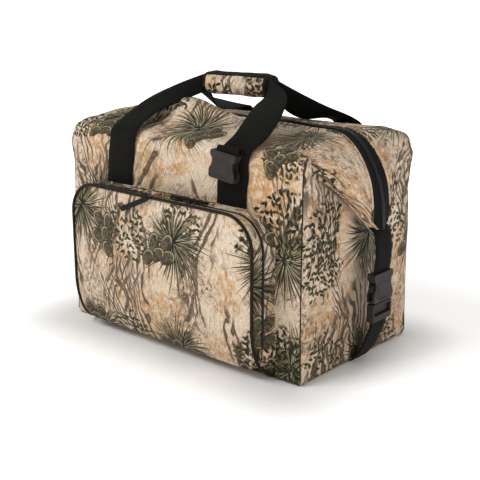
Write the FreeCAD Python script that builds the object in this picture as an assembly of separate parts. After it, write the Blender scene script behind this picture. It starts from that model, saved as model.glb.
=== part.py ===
import FreeCAD, Part
import math
import os

from FreeCAD import Vector

# Soft insulated cooler bag, in millimetres. The origin is the centre of the
# base, on the ground. +X runs along the length to the bag's right end, +Y to
# its rear and +Z up. The zip runs along X over the middle of the top, and its
# two ends fold down over the bag's ends as triangular ears.

# Body
HALF_LENGTH = 220.0
HALF_WIDTH = 128.0
EDGE_HEIGHT = 302.0
CORNER_RADIUS = 20.0
TOP_RADIUS = 18.0
BASE_RADIUS = 10.0
SKIN = 1.5
FOAM = 18.0
LINER = 1.0
GAP = 0.2
PIPING_RADIUS = 1.8

# Lid halves and main zip
LID_HALF_LENGTH = 172.0
LID_HINGE_Y = 119.0
CROWN_HEIGHT = 314.5
ZIP_HALF_WIDTH = 14.0
LID_COVER = 1.5
LID_FOAM = 9.0
LID_LINING = 1.0
TAPE = 1.2
COIL_HALF_WIDTH = 3.4
COIL_HEIGHT = 1.8

# Webbing, handles and grip
WEBBING_WIDTH = 50.8
WEBBING = 2.2
STRAP_X = 105.0
HANDLE_HINGE_Z = 300.0
GRIP_HALF_LENGTH = 63.5
GRIP_Z = 361.0
GRIP_HALF_HEIGHT = 17.0
GRIP_HALF_DEPTH = 17.5
GRIP_SPLIT = 0.4
GRIP_WEB_HALF_HEIGHT = 13.4
GRIP_WEB_Y = 8.0

# Buckles for 38 mm webbing, mouth downwards
TAB_WIDTH = 38.0
BUCKLE_HALF_WIDTH = 24.0
BUCKLE_HALF_DEPTH = 6.0
FEMALE_HEIGHT = 42.0
MALE_HEIGHT = 30.0
SOCKET_HALF_WIDTH = 18.0
SOCKET_HALF_DEPTH = 3.4
SOCKET_HEIGHT = 26.0
END_BUCKLE_X = 253.0
END_BUCKLE_MOUTH = 97.0
SHOULDER_BUCKLE_Y = 139.0
SHOULDER_BUCKLE_MOUTH = 254.0

# Pocket
POCKET_HALF_WIDTH = 174.0
POCKET_BOTTOM = 15.0
POCKET_TOP = 221.0
POCKET_TOP_RADIUS = 45.0
POCKET_BOTTOM_RADIUS = 25.0
POCKET_BACK_Y = 130.6
POCKET_ZIP_Y = 150.0
POCKET_FACE_Y = 166.5
POCKET_SKIN = 1.5
POCKET_COIL_WIDTH = 1.6
POCKET_COIL_RISE = 0.8
POCKET_ZIP_END_Z = 48.0

# Zip pulls
PULL_LENGTH = 56.0
PULL_WIDTH = 7.0
PULL_THICKNESS = 3.0
PULL_HOLES = 9


def box(x0, x1, y0, y1, z0, z1):
    return Part.makeBox(x1 - x0, y1 - y0, z1 - z0, Vector(x0, y0, z0))


def slab(half_x, half_y, z0, z1):
    return box(-half_x, half_x, -half_y, half_y, z0, z1)


def prism(points, travel):
    """A closed polygon pushed along a vector."""
    face = Part.Face(Part.makePolygon(points + [points[0]]))
    return face.extrude(travel)


def prism_xy(outline, z0, z1):
    return prism([Vector(x, y, z0) for x, y in outline], Vector(0, 0, z1 - z0))


def prism_xz(outline, y0, y1):
    return prism([Vector(x, y0, z) for x, z in outline], Vector(0, y1 - y0, 0))


def prism_yz(outline, x0, x1):
    return prism([Vector(x0, y, z) for y, z in outline], Vector(x1 - x0, 0, 0))


def offset_path(path, distance):
    """The 2-D path moved sideways to its left, with mitred turns."""
    moved = []
    for index, (a, b) in enumerate(path):
        before = path[max(index - 1, 0)]
        after = path[min(index + 1, len(path) - 1)]
        run_in = math.atan2(b - before[1], a - before[0])
        run_out = math.atan2(after[1] - b, after[0] - a)
        if index == 0:
            run_in = run_out
        if index == len(path) - 1:
            run_out = run_in
        middle = (run_in + run_out) / 2
        reach = distance / math.cos((run_out - run_in) / 2)
        moved.append((a - reach * math.sin(middle), b + reach * math.cos(middle)))
    return moved


def ribbon(path, near, far):
    """Outline of a strip between two offsets of an open 2-D path."""
    return offset_path(path, near) + offset_path(path, far)[::-1]


def mirrored_x(shape):
    return shape.mirror(Vector(0, 0, 0), Vector(1, 0, 0))


def mirrored_y(shape):
    return shape.mirror(Vector(0, 0, 0), Vector(0, 1, 0))


def fuse(shapes):
    joined = shapes[0]
    for shape in shapes[1:]:
        joined = joined.fuse(shape)
    return joined.removeSplitter()


def is_along(edge, axis):
    """True for a straight edge that runs along one of the three axes."""
    bounds = edge.BoundBox
    spans = [bounds.XLength, bounds.YLength, bounds.ZLength]
    return all(span < 0.001 for i, span in enumerate(spans) if i != axis)


def level_edges(shape, height):
    """The edges that lie flat at one height."""
    found = []
    for edge in shape.Edges:
        bounds = edge.BoundBox
        if abs(bounds.ZMin - height) < 0.01 and abs(bounds.ZMax - height) < 0.01:
            found.append(edge)
    return found


def soft_box(inset):
    """The bag's body as a closed block, with every face moved in by inset."""
    top = EDGE_HEIGHT - inset
    block = slab(HALF_LENGTH - inset, HALF_WIDTH - inset, inset, top)
    upright = [edge for edge in block.Edges if is_along(edge, 2)]
    block = block.makeFillet(CORNER_RADIUS - inset, upright)
    block = block.makeFillet(TOP_RADIUS - inset, level_edges(block, top))
    return block.makeFillet(BASE_RADIUS - inset, level_edges(block, inset))


def body_panels():
    """The fabric shell, parted along its corner seams and round its base."""
    shell = soft_box(0).cut(soft_box(SKIN))
    mouth = slab(LID_HALF_LENGTH + 0.6, LID_HINGE_Y, EDGE_HEIGHT - 14, EDGE_HEIGHT + 1)
    shell = shell.cut(mouth)
    seam_x = HALF_LENGTH - CORNER_RADIUS
    seam_y = HALF_WIDTH - CORNER_RADIUS
    reach = 60.0
    far_x = seam_x + reach
    far_y = seam_y + reach
    top_x = LID_HALF_LENGTH + 0.6
    front = [(-far_x, -far_y), (far_x, -far_y), (seam_x, -seam_y), (-seam_x, -seam_y)]
    right = [(top_x, -seam_y), (seam_x, -seam_y), (far_x, -far_y)]
    right += [(x, -y) for x, y in right[::-1]]
    sides = EDGE_HEIGHT + 1
    front_panel = shell.common(prism_xy(front, BASE_RADIUS, sides))
    right_panel = shell.common(prism_xy(right, BASE_RADIUS, sides))
    return {
        "base_panel": shell.common(slab(HALF_LENGTH + 1, HALF_WIDTH + 1, 0, BASE_RADIUS)),
        "front_panel": front_panel,
        "rear_panel": mirrored_y(front_panel),
        "right_end_panel": right_panel,
        "left_end_panel": mirrored_x(right_panel),
    }


def corner_piping():
    """Fabric-covered cord in the four upright corner seams."""
    reach = (CORNER_RADIUS + PIPING_RADIUS) * math.sqrt(0.5)
    x = HALF_LENGTH - CORNER_RADIUS + reach
    y = HALF_WIDTH - CORNER_RADIUS + reach
    height = EDGE_HEIGHT - TOP_RADIUS - BASE_RADIUS
    cords = []
    for sx in (-1, 1):
        for sy in (-1, 1):
            foot = Vector(sx * x, sy * y, BASE_RADIUS)
            cords.append(Part.makeCylinder(PIPING_RADIUS, height, foot))
    return Part.makeCompound(cords)


def foam_panels():
    """Closed-cell foam between the fabric and the liner."""
    wall = SKIN + GAP
    floor = SKIN + 0.1
    low = floor + FOAM + GAP
    high = EDGE_HEIGHT - 15
    half_x = HALF_LENGTH - CORNER_RADIUS
    half_y = HALF_WIDTH - CORNER_RADIUS
    outer_x = HALF_LENGTH - wall
    outer_y = HALF_WIDTH - wall
    front = box(-half_x + 1, half_x - 1, -outer_y, -outer_y + FOAM, low, high)
    right = box(outer_x - FOAM, outer_x, -half_y, half_y, low, high)
    top_x = LID_HALF_LENGTH + 2
    top = box(top_x, half_x, -half_y, half_y, high + 2, EDGE_HEIGHT - wall)
    return {
        "base_foam": slab(half_x + 6, half_y + 6, floor, floor + FOAM),
        "front_foam": front,
        "rear_foam": mirrored_y(front),
        "right_end_foam": right,
        "left_end_foam": mirrored_x(right),
        "top_end_foam": Part.makeCompound([top, mirrored_x(top)]),
    }


def liner():
    """Welded waterproof tub inside the foam."""
    half_x = HALF_LENGTH - SKIN - FOAM - 2 * GAP
    half_y = HALF_WIDTH - SKIN - FOAM - 2 * GAP
    low = SKIN + FOAM + 2 * GAP
    high = EDGE_HEIGHT - 15
    radius = 8.0
    tub = slab(half_x, half_y, low, high)
    tub = tub.makeFillet(radius, [e for e in tub.Edges if is_along(e, 2)])
    hollow = slab(half_x - LINER, half_y - LINER, low + LINER, high + 1)
    hollow = hollow.makeFillet(radius - LINER, [e for e in hollow.Edges if is_along(e, 2)])
    return tub.cut(hollow)


def lid_line(lower):
    """The front lid half's crowned line from hinge to zip, as (y, z)."""
    hinge = -LID_HINGE_Y + 0.5
    return [
        (hinge, EDGE_HEIGHT - 2.0 - lower),
        (-HALF_WIDTH + TOP_RADIUS, EDGE_HEIGHT + 0.6 - lower),
        (-70.0, EDGE_HEIGHT + 7.0 - lower),
        (-34.0, CROWN_HEIGHT - 2.0 - lower),
        (-ZIP_HALF_WIDTH, CROWN_HEIGHT - 0.6 - lower),
    ]


def lid_layer(depth, thickness):
    outline = lid_line(depth) + lid_line(depth + thickness)[::-1]
    return prism_yz(outline, -LID_HALF_LENGTH, LID_HALF_LENGTH)


def lid_zip():
    """Tape and coil along the free edge of the front lid half."""
    low = CROWN_HEIGHT - TAPE
    edge = -0.25
    half = LID_HALF_LENGTH
    tape = box(-half, half, -ZIP_HALF_WIDTH, edge, low, CROWN_HEIGHT)
    coil = box(-half, half, -COIL_HALF_WIDTH, edge, low, CROWN_HEIGHT + COIL_HEIGHT)
    return fuse([tape, coil])


def lids():
    cover = lid_layer(0, LID_COVER)
    foam = lid_layer(LID_COVER, LID_FOAM)
    lining = lid_layer(LID_COVER + LID_FOAM, LID_LINING)
    nodes = {}
    for name, shape in (("cover", cover), ("foam", foam), ("lining", lining), ("zip", lid_zip())):
        nodes["front_lid_" + name] = shape
        nodes["rear_lid_" + name] = mirrored_y(shape)
    return nodes


def ear_ridge():
    """The zip's line over the right end, as (x, z), from the lid downwards."""
    start = LID_HALF_LENGTH + 1
    low = CROWN_HEIGHT - TAPE
    return [
        (start, low), (192.0, low), (206.0, 307.0), (222.0, 290.0), (236.0, 268.0),
        (246.0, 243.0), (251.0, 216.0), (252.0, 192.0),
    ]


def ear():
    """The folded triangular corner of the top, standing proud of the end."""
    start = LID_HALF_LENGTH + 1
    middle = [(start, EDGE_HEIGHT - 2)] + ear_ridge() + [(HALF_LENGTH - 1, 188.0)]
    side = [
        (start, EDGE_HEIGHT - 3), (start, EDGE_HEIGHT), (192.0, EDGE_HEIGHT),
        (204.0, EDGE_HEIGHT - 0.5), (212.0, 297.0), (218.0, 291.0), (220.4, 285.0),
        (220.6, 279.0), (220.4, 274.0), (HALF_LENGTH - 3, 272.0),
    ]
    sections = []
    side_y = HALF_WIDTH - 10
    flat_y = ZIP_HALF_WIDTH + 2
    for y, outline in ((-side_y, side), (-flat_y, middle), (flat_y, middle), (side_y, side)):
        points = [Vector(x, y, z) for x, z in outline]
        sections.append(Part.makePolygon(points + [points[0]]))
    return Part.makeLoft(sections, True, True).cut(soft_box(0))


def ear_zip():
    """Tape and coil down the ear's ridge, fixed to it."""
    ridge = ear_ridge()
    tape = prism_xz(ribbon(ridge, 0.05, TAPE), -ZIP_HALF_WIDTH, ZIP_HALF_WIDTH)
    coil = prism_xz(ribbon(ridge, 0.05, TAPE + COIL_HEIGHT), -COIL_HALF_WIDTH, COIL_HALF_WIDTH)
    return fuse([tape, coil])


def zip_tab():
    """Webbing from the ear's tip down to the right end buckle's bar."""
    bar_z = END_BUCKLE_MOUTH + FEMALE_HEIGHT - 5.5
    tip_x, tip_z = ear_ridge()[-1]
    path = [(tip_x + 1.0, tip_z - 0.5), (tip_x + 1.0, 160.0), (END_BUCKLE_X - 1.0, bar_z + 6.8)]
    half = TAB_WIDTH / 2
    return prism_xz(ribbon(path, 0, WEBBING), -half, half)


def lower_strap():
    """Webbing from the base seam up to the right end buckle's lower bar."""
    path = [(END_BUCKLE_X - 1.0, END_BUCKLE_MOUTH - MALE_HEIGHT - 1.5), (HALF_LENGTH + 2.5, 4.0)]
    half = TAB_WIDTH / 2
    return prism_xz(ribbon(path, 0, WEBBING), -half, half)


def female_buckle():
    """Socket half, mouth at z = 0, its width along X."""
    wide = BUCKLE_HALF_WIDTH
    waist = wide - 3
    right = [(wide, 0), (wide, 8), (waist, 14), (waist, 22), (wide, 28), (wide, FEMALE_HEIGHT)]
    outline = right + [(-x, z) for x, z in right[::-1]]
    body = prism_xz(outline, -BUCKLE_HALF_DEPTH, BUCKLE_HALF_DEPTH)
    deep = SOCKET_HALF_DEPTH
    body = body.cut(slab(SOCKET_HALF_WIDTH, deep, -1, SOCKET_HEIGHT))
    window = slab(wide + 1, deep, 10.5, 22)
    slot_low = SOCKET_HEIGHT + 5
    slot = slab(TAB_WIDTH / 2 + 0.8, BUCKLE_HALF_DEPTH + 1, slot_low, slot_low + 5)
    return body.cut(window).cut(slot)


def male_buckle():
    """Prong half below the mouth: ladder bars for the strap, and the tongue."""
    low = -MALE_HEIGHT
    body = slab(BUCKLE_HALF_WIDTH, BUCKLE_HALF_DEPTH - 0.5, low, -1)
    half = TAB_WIDTH / 2 + 0.8
    for slot_low in (low + 4, low + 13):
        body = body.cut(slab(half, BUCKLE_HALF_DEPTH + 1, slot_low, slot_low + 5))
    tongue = slab(4.0, SOCKET_HALF_DEPTH - 0.8, -1, SOCKET_HEIGHT - 2)
    return fuse([body, tongue])


def buckle_arm():
    """Springy side prong on +X, its head latched in the socket's window."""
    deep = SOCKET_HALF_DEPTH - 0.8
    outline = [
        (11.5, -0.4), (15.5, -0.4), (15.5, 10.3), (21.5, 12.0),
        (21.5, 18.0), (17.0, 21.5), (13.5, 21.5), (11.5, 12.0),
    ]
    return prism_xz(outline, -deep, deep)


def end_buckles():
    """Both end buckles, turned so that their width runs along Y."""
    arm = buckle_arm()
    parts = {
        "buckle_socket": female_buckle(),
        "buckle_plug": male_buckle(),
        "buckle_front_arm": mirrored_x(arm),
        "buckle_rear_arm": arm,
    }
    nodes = {}
    for name, shape in parts.items():
        placed = shape.copy()
        placed.rotate(Vector(0, 0, 0), Vector(0, 0, 1), 90)
        placed.translate(Vector(END_BUCKLE_X, 0, END_BUCKLE_MOUTH))
        nodes["right_" + name] = placed
        nodes["left_" + name] = mirrored_x(placed)
    return nodes


def face_straps():
    """The handle's webbing where it is sewn down the front face."""
    half = WEBBING_WIDTH / 2
    outer = -HALF_WIDTH - WEBBING
    top = HANDLE_HINGE_Z - 1.6
    straps = []
    for x in (-STRAP_X, STRAP_X):
        straps.append(box(x - half, x + half, outer, -HALF_WIDTH, BASE_RADIUS, top))
    return Part.makeCompound(straps)


def handle_leg():
    """Right front webbing, rising and twisting from the face to the grip."""
    run = [
        (Vector(STRAP_X, -129.2, HANDLE_HINGE_Z), Vector(25.4, 0, 0), Vector(0, 1.1, 0)),
        (Vector(103.5, -117, 315), Vector(25, 1.5, 0), Vector(-0.05, 0.85, -0.7)),
        (Vector(97, -82, 335), Vector(23.5, 6, 2), Vector(-0.1, 0.45, -1.0)),
        (Vector(86, -40, 350), Vector(18, 9, 9), Vector(0.25, 0.45, -0.95)),
        (Vector(GRIP_HALF_LENGTH, -GRIP_WEB_Y, GRIP_Z), Vector(0, 0, GRIP_WEB_HALF_HEIGHT),
         Vector(0, WEBBING, 0)),
    ]
    sections = []
    for centre, wide, thick in run:
        corners = [centre + wide + thick, centre - wide + thick]
        corners += [centre - wide - thick, centre + wide - thick]
        sections.append(Part.makePolygon(corners + [corners[0]]))
    return Part.makeLoft(sections, True, True)


def handle():
    """Front webbing loop above the bag's edge."""
    leg = handle_leg()
    high = GRIP_WEB_HALF_HEIGHT
    reach = GRIP_HALF_LENGTH
    core = box(-reach, reach, -GRIP_WEB_Y - WEBBING, -GRIP_WEB_Y + WEBBING, GRIP_Z - high, GRIP_Z + high)
    return leg.fuse(core).fuse(mirrored_x(leg))


def grip():
    """Front half of the padded hand wrap, closed round the webbing."""
    deep = GRIP_HALF_DEPTH
    high = GRIP_HALF_HEIGHT
    upper = [
        (-GRIP_SPLIT, high), (-deep * 0.5, high * 0.98), (-deep * 0.82, high * 0.75),
        (-deep, high * 0.3),
    ]
    outline = [(y, GRIP_Z + z) for y, z in upper + [(y, -z) for y, z in upper[::-1]]]
    reach = GRIP_HALF_LENGTH - 0.5
    return prism_yz(outline, -reach, reach).cut(handle())


def pocket_plate(inset, y0, y1):
    """The pocket's rounded outline as a plate between two depths."""
    half = POCKET_HALF_WIDTH - inset
    low = POCKET_BOTTOM + inset
    high = POCKET_TOP - inset
    plate = box(-half, half, -y1, -y0, low, high)
    upper = [e for e in plate.Edges if is_along(e, 1) and e.BoundBox.ZMax > high - 1]
    plate = plate.makeFillet(POCKET_TOP_RADIUS - inset, upper)
    lower = [e for e in plate.Edges if is_along(e, 1) and e.BoundBox.ZMin < low + 1]
    return plate.makeFillet(POCKET_BOTTOM_RADIUS - inset, lower)


def pocket_ring(outer, inner, y0, y1):
    return pocket_plate(outer, y0, y1).cut(pocket_plate(inner, y0 - 1, y1 + 1))


def pocket():
    """Back, two gusset halves with the zip between them, face and piping."""
    split = 0.15
    coil = POCKET_COIL_WIDTH
    rear_coil_y = POCKET_ZIP_Y - split - coil
    front_coil_y = POCKET_ZIP_Y + split
    rise = -POCKET_COIL_RISE
    back = POCKET_BACK_Y
    face = POCKET_FACE_Y
    above_end = slab(HALF_LENGTH, HALF_LENGTH, POCKET_ZIP_END_Z, POCKET_TOP + 5)
    below_end = slab(HALF_LENGTH, HALF_LENGTH, 0, POCKET_ZIP_END_Z)
    rear_gusset = pocket_ring(0, POCKET_SKIN, back + 1.2, rear_coil_y)
    front_gusset = pocket_ring(0, POCKET_SKIN, front_coil_y + coil, face)
    rear_end = pocket_ring(0, POCKET_SKIN, rear_coil_y, POCKET_ZIP_Y - split).common(below_end)
    front_end = pocket_ring(0, POCKET_SKIN, front_coil_y, front_coil_y + coil).common(below_end)
    rear_coil = pocket_ring(rise, POCKET_SKIN, rear_coil_y, POCKET_ZIP_Y - split)
    front_coil = pocket_ring(rise, POCKET_SKIN, front_coil_y, front_coil_y + coil)
    return {
        "pocket_back": pocket_plate(0, back, back + 1.2),
        "pocket_rear_gusset": fuse([rear_gusset, rear_end]),
        "pocket_front_gusset": fuse([front_gusset, front_end]),
        "pocket_rear_zip": rear_coil.common(above_end),
        "pocket_front_zip": front_coil.common(above_end),
        "pocket_face": pocket_plate(1.2, face, face + POCKET_SKIN),
        "pocket_piping": pocket_ring(-1.8, 1.2, face, face + 3.0),
    }


def zip_slider(length, width, cheek_gap, cheek_drop, cheek_sides):
    """Slider body, travel along X, riding on a coil whose top is z = 0."""
    plate = slab(length / 2, width / 2, 0.4, 2.8)
    cheeks = []
    for side in cheek_sides:
        near = side * cheek_gap
        far = side * width / 2
        cheeks.append(box(-length / 2, length / 2, min(near, far), max(near, far), -cheek_drop, 0.5))
    bridge = box(-length / 4, length / 4, -1.5, 1.5, 2.7, 5.6)
    bridge = bridge.cut(box(-length / 8, length / 8, -2, 2, 2.9, 4.6))
    return fuse([plate, bridge] + cheeks)


def zip_pull():
    """Moulded pull along +X from its pivot at the origin, with small holes."""
    half = PULL_WIDTH / 2
    start = 8.0
    thick = PULL_THICKNESS / 2
    body = box(start, start + PULL_LENGTH, -half, half, -thick, thick)
    body = body.makeFillet(2.0, [e for e in body.Edges if is_along(e, 2)])
    pitch = PULL_LENGTH / (PULL_HOLES + 1)
    for index in range(PULL_HOLES):
        centre = Vector(start + pitch * (index + 1), 0, -PULL_THICKNESS)
        body = body.cut(Part.makeCylinder(0.9, 2 * PULL_THICKNESS, centre))
    loop = box(-1.0, start + 3, -2.4, 2.4, -0.7, 0.7)
    loop = loop.cut(box(1.0, start - 1, -1.4, 1.4, -1, 1))
    return fuse([body, loop])


def main_zip_runner():
    """Slider parked past the lids' left end, its pull lying along the zip."""
    park_x = -LID_HALF_LENGTH - 11
    coil_top = CROWN_HEIGHT + COIL_HEIGHT
    slider = zip_slider(16.0, 12.0, COIL_HALF_WIDTH + 0.8, 1.2, (-1, 1))
    slider.translate(Vector(park_x, 0, coil_top))
    pull = zip_pull()
    pull.translate(Vector(park_x + 8.6, 0, coil_top + 4.2))
    return {"main_slider": slider, "main_pull": pull}


def pull_cord(coil_top):
    """Cord from the left pocket slider over the piping to its hanging pull."""
    path = [(-POCKET_FACE_Y - 3.6, coil_top + 3.4), (-POCKET_FACE_Y, coil_top + 4.6),
            (-POCKET_ZIP_Y - 1.0, coil_top + 3.6)]
    return prism_yz(ribbon(path, 0, 1.2), -7.0, -4.6)


def pocket_zip_runners():
    """Two sliders meeting at the middle of the pocket's top edge.

    They run on the front tape's coil, with a cheek on that side only.
    """
    coil_top = POCKET_TOP + POCKET_COIL_RISE
    nodes = {}
    for name, x in (("left", -8.0), ("right", 8.0)):
        slider = zip_slider(14.0, 9.0, 3.0, 0.5, (-1,))
        slider.translate(Vector(x, -POCKET_ZIP_Y, coil_top))
        nodes["pocket_{}_slider".format(name)] = slider
    nodes["pocket_left_slider"] = fuse([nodes["pocket_left_slider"], pull_cord(coil_top)])
    lying = zip_pull()
    lying.translate(Vector(16.0, -POCKET_ZIP_Y, coil_top + 4.2))
    nodes["pocket_right_pull"] = lying
    hanging = zip_pull()
    hanging.rotate(Vector(0, 0, 0), Vector(1, 0, 0), 90)
    hanging.rotate(Vector(0, 0, 0), Vector(0, 1, 0), 180 - 24)
    hanging.translate(Vector(-2.0, -POCKET_FACE_Y - 6.0, coil_top + 4.0))
    nodes["pocket_left_pull"] = hanging
    return nodes


def shoulder_buckle():
    """Socket half hanging mouth-down from the front right strap."""
    body = female_buckle()
    body.translate(Vector(STRAP_X, -SHOULDER_BUCKLE_Y, SHOULDER_BUCKLE_MOUTH))
    return body


def turned_round(shape):
    """Half a turn about Z: the front right becomes the rear left."""
    return mirrored_x(mirrored_y(shape))


def build():
    nodes = {}
    nodes.update(body_panels())
    nodes["corner_piping"] = corner_piping()
    nodes.update(foam_panels())
    nodes["liner"] = liner()
    nodes.update(lids())
    for name, shape in (("ear", ear()), ("ear_zip", ear_zip()), ("zip_tab", zip_tab()),
                        ("lower_strap", lower_strap())):
        nodes["right_" + name] = shape
        nodes["left_" + name] = mirrored_x(shape)
    nodes.update(end_buckles())
    nodes["front_straps"] = face_straps()
    nodes["rear_straps"] = turned_round(face_straps())
    nodes["front_handle"] = handle()
    nodes["rear_handle"] = mirrored_y(handle())
    nodes["front_grip"] = grip()
    nodes["rear_grip"] = mirrored_y(grip())
    nodes["front_shoulder_buckle"] = shoulder_buckle()
    nodes["rear_shoulder_buckle"] = turned_round(shoulder_buckle())
    nodes.update(pocket())
    nodes.update(main_zip_runner())
    nodes.update(pocket_zip_runners())
    return nodes


os.makedirs("parts", exist_ok=True)
for node, solid in build().items():
    solid.exportStep(os.path.join("parts", node + ".step"))
    print(node, solid.isValid(), len(solid.Solids), round(solid.Volume))
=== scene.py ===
import functools
import math

import bmesh
import bpy
import numpy as np
from mathutils import Matrix, Vector, noise


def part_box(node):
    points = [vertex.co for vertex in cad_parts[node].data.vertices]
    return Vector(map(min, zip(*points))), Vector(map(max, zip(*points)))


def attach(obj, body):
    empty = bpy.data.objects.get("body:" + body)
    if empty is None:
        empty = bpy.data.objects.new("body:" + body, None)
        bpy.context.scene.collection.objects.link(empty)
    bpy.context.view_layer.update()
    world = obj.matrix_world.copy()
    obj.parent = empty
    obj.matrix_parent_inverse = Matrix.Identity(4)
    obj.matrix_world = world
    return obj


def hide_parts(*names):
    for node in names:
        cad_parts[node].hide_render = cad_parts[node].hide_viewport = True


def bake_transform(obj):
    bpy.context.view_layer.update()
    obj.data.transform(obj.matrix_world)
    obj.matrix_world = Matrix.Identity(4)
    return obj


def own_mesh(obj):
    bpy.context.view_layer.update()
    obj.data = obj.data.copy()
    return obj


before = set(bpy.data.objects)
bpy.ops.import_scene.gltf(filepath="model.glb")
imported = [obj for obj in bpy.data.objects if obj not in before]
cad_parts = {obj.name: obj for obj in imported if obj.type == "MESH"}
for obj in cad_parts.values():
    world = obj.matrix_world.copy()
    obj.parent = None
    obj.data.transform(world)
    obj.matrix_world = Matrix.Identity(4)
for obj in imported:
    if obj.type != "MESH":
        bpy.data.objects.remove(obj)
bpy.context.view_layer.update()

MM = 0.001
UV = "print"


def low(node, axis):
    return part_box(node)[0][axis]


def high(node, axis):
    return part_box(node)[1][axis]


# ---- Places read from the frame, in metres ---------------------------------
HALF_LENGTH = high("base_panel", 0)
HALF_WIDTH = high("base_panel", 1)
EDGE = high("front_panel", 2)
LID_HALF = high("front_lid_cover", 0) + 0.5 * MM
CROWN = high("front_lid_cover", 2)
TAPE_HALF = -low("front_lid_zip", 1)
WEBBING_HALF = 25.4 * MM
STRAP_X = high("front_handle", 0) - WEBBING_HALF
GRIP_HALF = high("front_grip", 0)
GRIP_Z = (low("front_grip", 2) + high("front_grip", 2)) / 2
GRIP_DEEP = -low("front_grip", 1)
POCKET_HALF = high("pocket_front_gusset", 0)
POCKET_LOW = low("pocket_front_gusset", 2)
POCKET_HIGH = high("pocket_front_gusset", 2)
POCKET_FACE = -high("pocket_face", 1)
POCKET_BACK = -low("pocket_back", 1)
POCKET_ZIP = -high("pocket_front_zip", 1) - 0.15 * MM
ZIP_END = low("pocket_front_zip", 2)
RIM_Z = high("liner", 2)

# ---- Soft shape of the body ------------------------------------------------
CORNER = 14 * MM
TOP_ROUND = 18 * MM
BASE_ROUND = 5 * MM
EAR_SIDE = HALF_WIDTH - CORNER
FOLD_Z = EDGE - TOP_ROUND
EAR_FOOT = 274 * MM
STEP = 5 * MM
SHARP = math.radians(40)
# The hump of slack fabric in the front lid: its middle, spreads and height.
HUMP_X = -66 * MM
HUMP_Y = -40 * MM
HUMP_LONG = 82 * MM
HUMP_WIDE = 32 * MM
HUMP_HIGH = 31 * MM
# Where in the print each panel of cloth is cut, in metres.
REAR_PRINT = 2.9
END_PRINT = 1.07
END_PRINT_STEP = 0.31
BASE_PRINT = 0.9
GRIP_PRINT = (0.05, -0.12)
REAR_GRIP_PRINT = 0.7
GUSSET_PRINT = (0.35, 0.4)


def spaced(start, stop, step=STEP):
    """Evenly spaced values from start to stop, about a step apart."""
    return np.linspace(start, stop, max(2, int(round(abs(stop - start) / step)) + 1))


def clamp(value, lowest, highest):
    return min(max(value, lowest), highest)


def ramp(value, start, stop):
    """0 before start, 1 after stop, smooth between."""
    t = clamp((value - start) / (stop - start), 0.0, 1.0)
    return t * t * (3 - 2 * t)


def lerp(a, b, share):
    return a + (b - a) * share


def swell(place):
    """The fabric's gentle unevenness, as a distance along the surface's normal."""
    slow = noise.noise(place * 9.0 + Vector((3.1, 0.0, 7.7)))
    quick = noise.noise(place * 27.0 + Vector((0.0, 5.2, 1.3)))
    return slow * 2.4 * MM + quick * 0.9 * MM


def dome(y):
    """How far the top rises above its edges."""
    share = min(abs(y) / EAR_SIDE, 1.0)
    return (CROWN - EDGE) * (1 - share ** 1.85)


def hump(x, y):
    """The front lid's slack fabric, pushed up between the straps."""
    if y > -TAPE_HALF:
        return 0.0
    along = math.exp(-((x - HUMP_X) / HUMP_LONG) ** 2)
    across = math.exp(-((y - HUMP_Y) / HUMP_WIDE) ** 2)
    crease = 1.0 + 0.22 * noise.noise(Vector((x * 20 + y * 26, x * 4, 2.0)))
    return HUMP_HIGH * along * across * crease * ramp(-y, TAPE_HALF, 33 * MM)


def pinch(place, out):
    """Creases running out from where the ear's fold is caught at each top corner."""
    centre = Vector((
        math.copysign(HALF_LENGTH - 14 * MM, place.x),
        math.copysign(HALF_WIDTH - 3 * MM, place.y),
        EDGE - 11 * MM,
    ))
    away = place - centre
    reach = away.length
    if reach > 150 * MM:
        return place
    ray = away.normalized() if reach > 0.1 * MM else Vector((0, 0, 1))
    fold = noise.noise(ray * 3.4 + Vector((place.x > 0, place.y > 0, 0.5)) * 7.0)
    size = 5.0 * MM * ramp(reach, 5 * MM, 32 * MM) * (1 - ramp(reach, 48 * MM, 140 * MM))
    dent = -3.5 * MM * math.exp(-(reach / (9 * MM)) ** 2)
    return place + out * (fold * size + dent)


def soft_point(x, y, z):
    """A point of the square box moved on to the rounded, uneven body."""
    corner = lerp(6 * MM, CORNER, ramp(z, 0.0, 70 * MM))
    core = Vector((
        clamp(x, -HALF_LENGTH + corner, HALF_LENGTH - corner),
        clamp(y, -HALF_WIDTH + corner, HALF_WIDTH - corner),
        clamp(z, BASE_ROUND, FOLD_Z),
    ))
    upright = TOP_ROUND if z > FOLD_Z else BASE_ROUND
    away = Vector(((x - core.x) / corner, (y - core.y) / corner, (z - core.z) / upright))
    away.normalize()
    point = core + Vector((away.x * corner, away.y * corner, away.z * upright))
    free = ramp(z, 0.0, 40 * MM)
    belly = math.sin(math.pi * clamp(z / EDGE, 0, 1)) * free
    point += away * swell(point) * free
    point.y += math.copysign(2.0 * MM, y) * belly * abs(away.y)
    point = pinch(point, away)
    if z > FOLD_Z:
        point.z += (dome(y) + hump(x, y)) * ramp(away.z, 0.3, 1.0)
    return point


# ---- Mesh helpers ----------------------------------------------------------
def linked(name, data):
    """A new object in the scene for a mesh, a light or a camera."""
    obj = bpy.data.objects.new(name, data)
    bpy.context.collection.objects.link(obj)
    return obj


def piece(name, points, faces, material, uvs):
    """A new smooth-shaded mesh object, with (u, v) in metres at each point."""
    mesh = bpy.data.meshes.new(name)
    mesh.from_pydata([tuple(p) for p in points], [], faces)
    layer = mesh.uv_layers.new(name=UV)
    for loop in mesh.loops:
        layer.data[loop.index].uv = uvs[loop.vertex_index]
    mesh.shade_smooth()
    mesh.materials.append(material)
    return linked(name, mesh)


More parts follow.
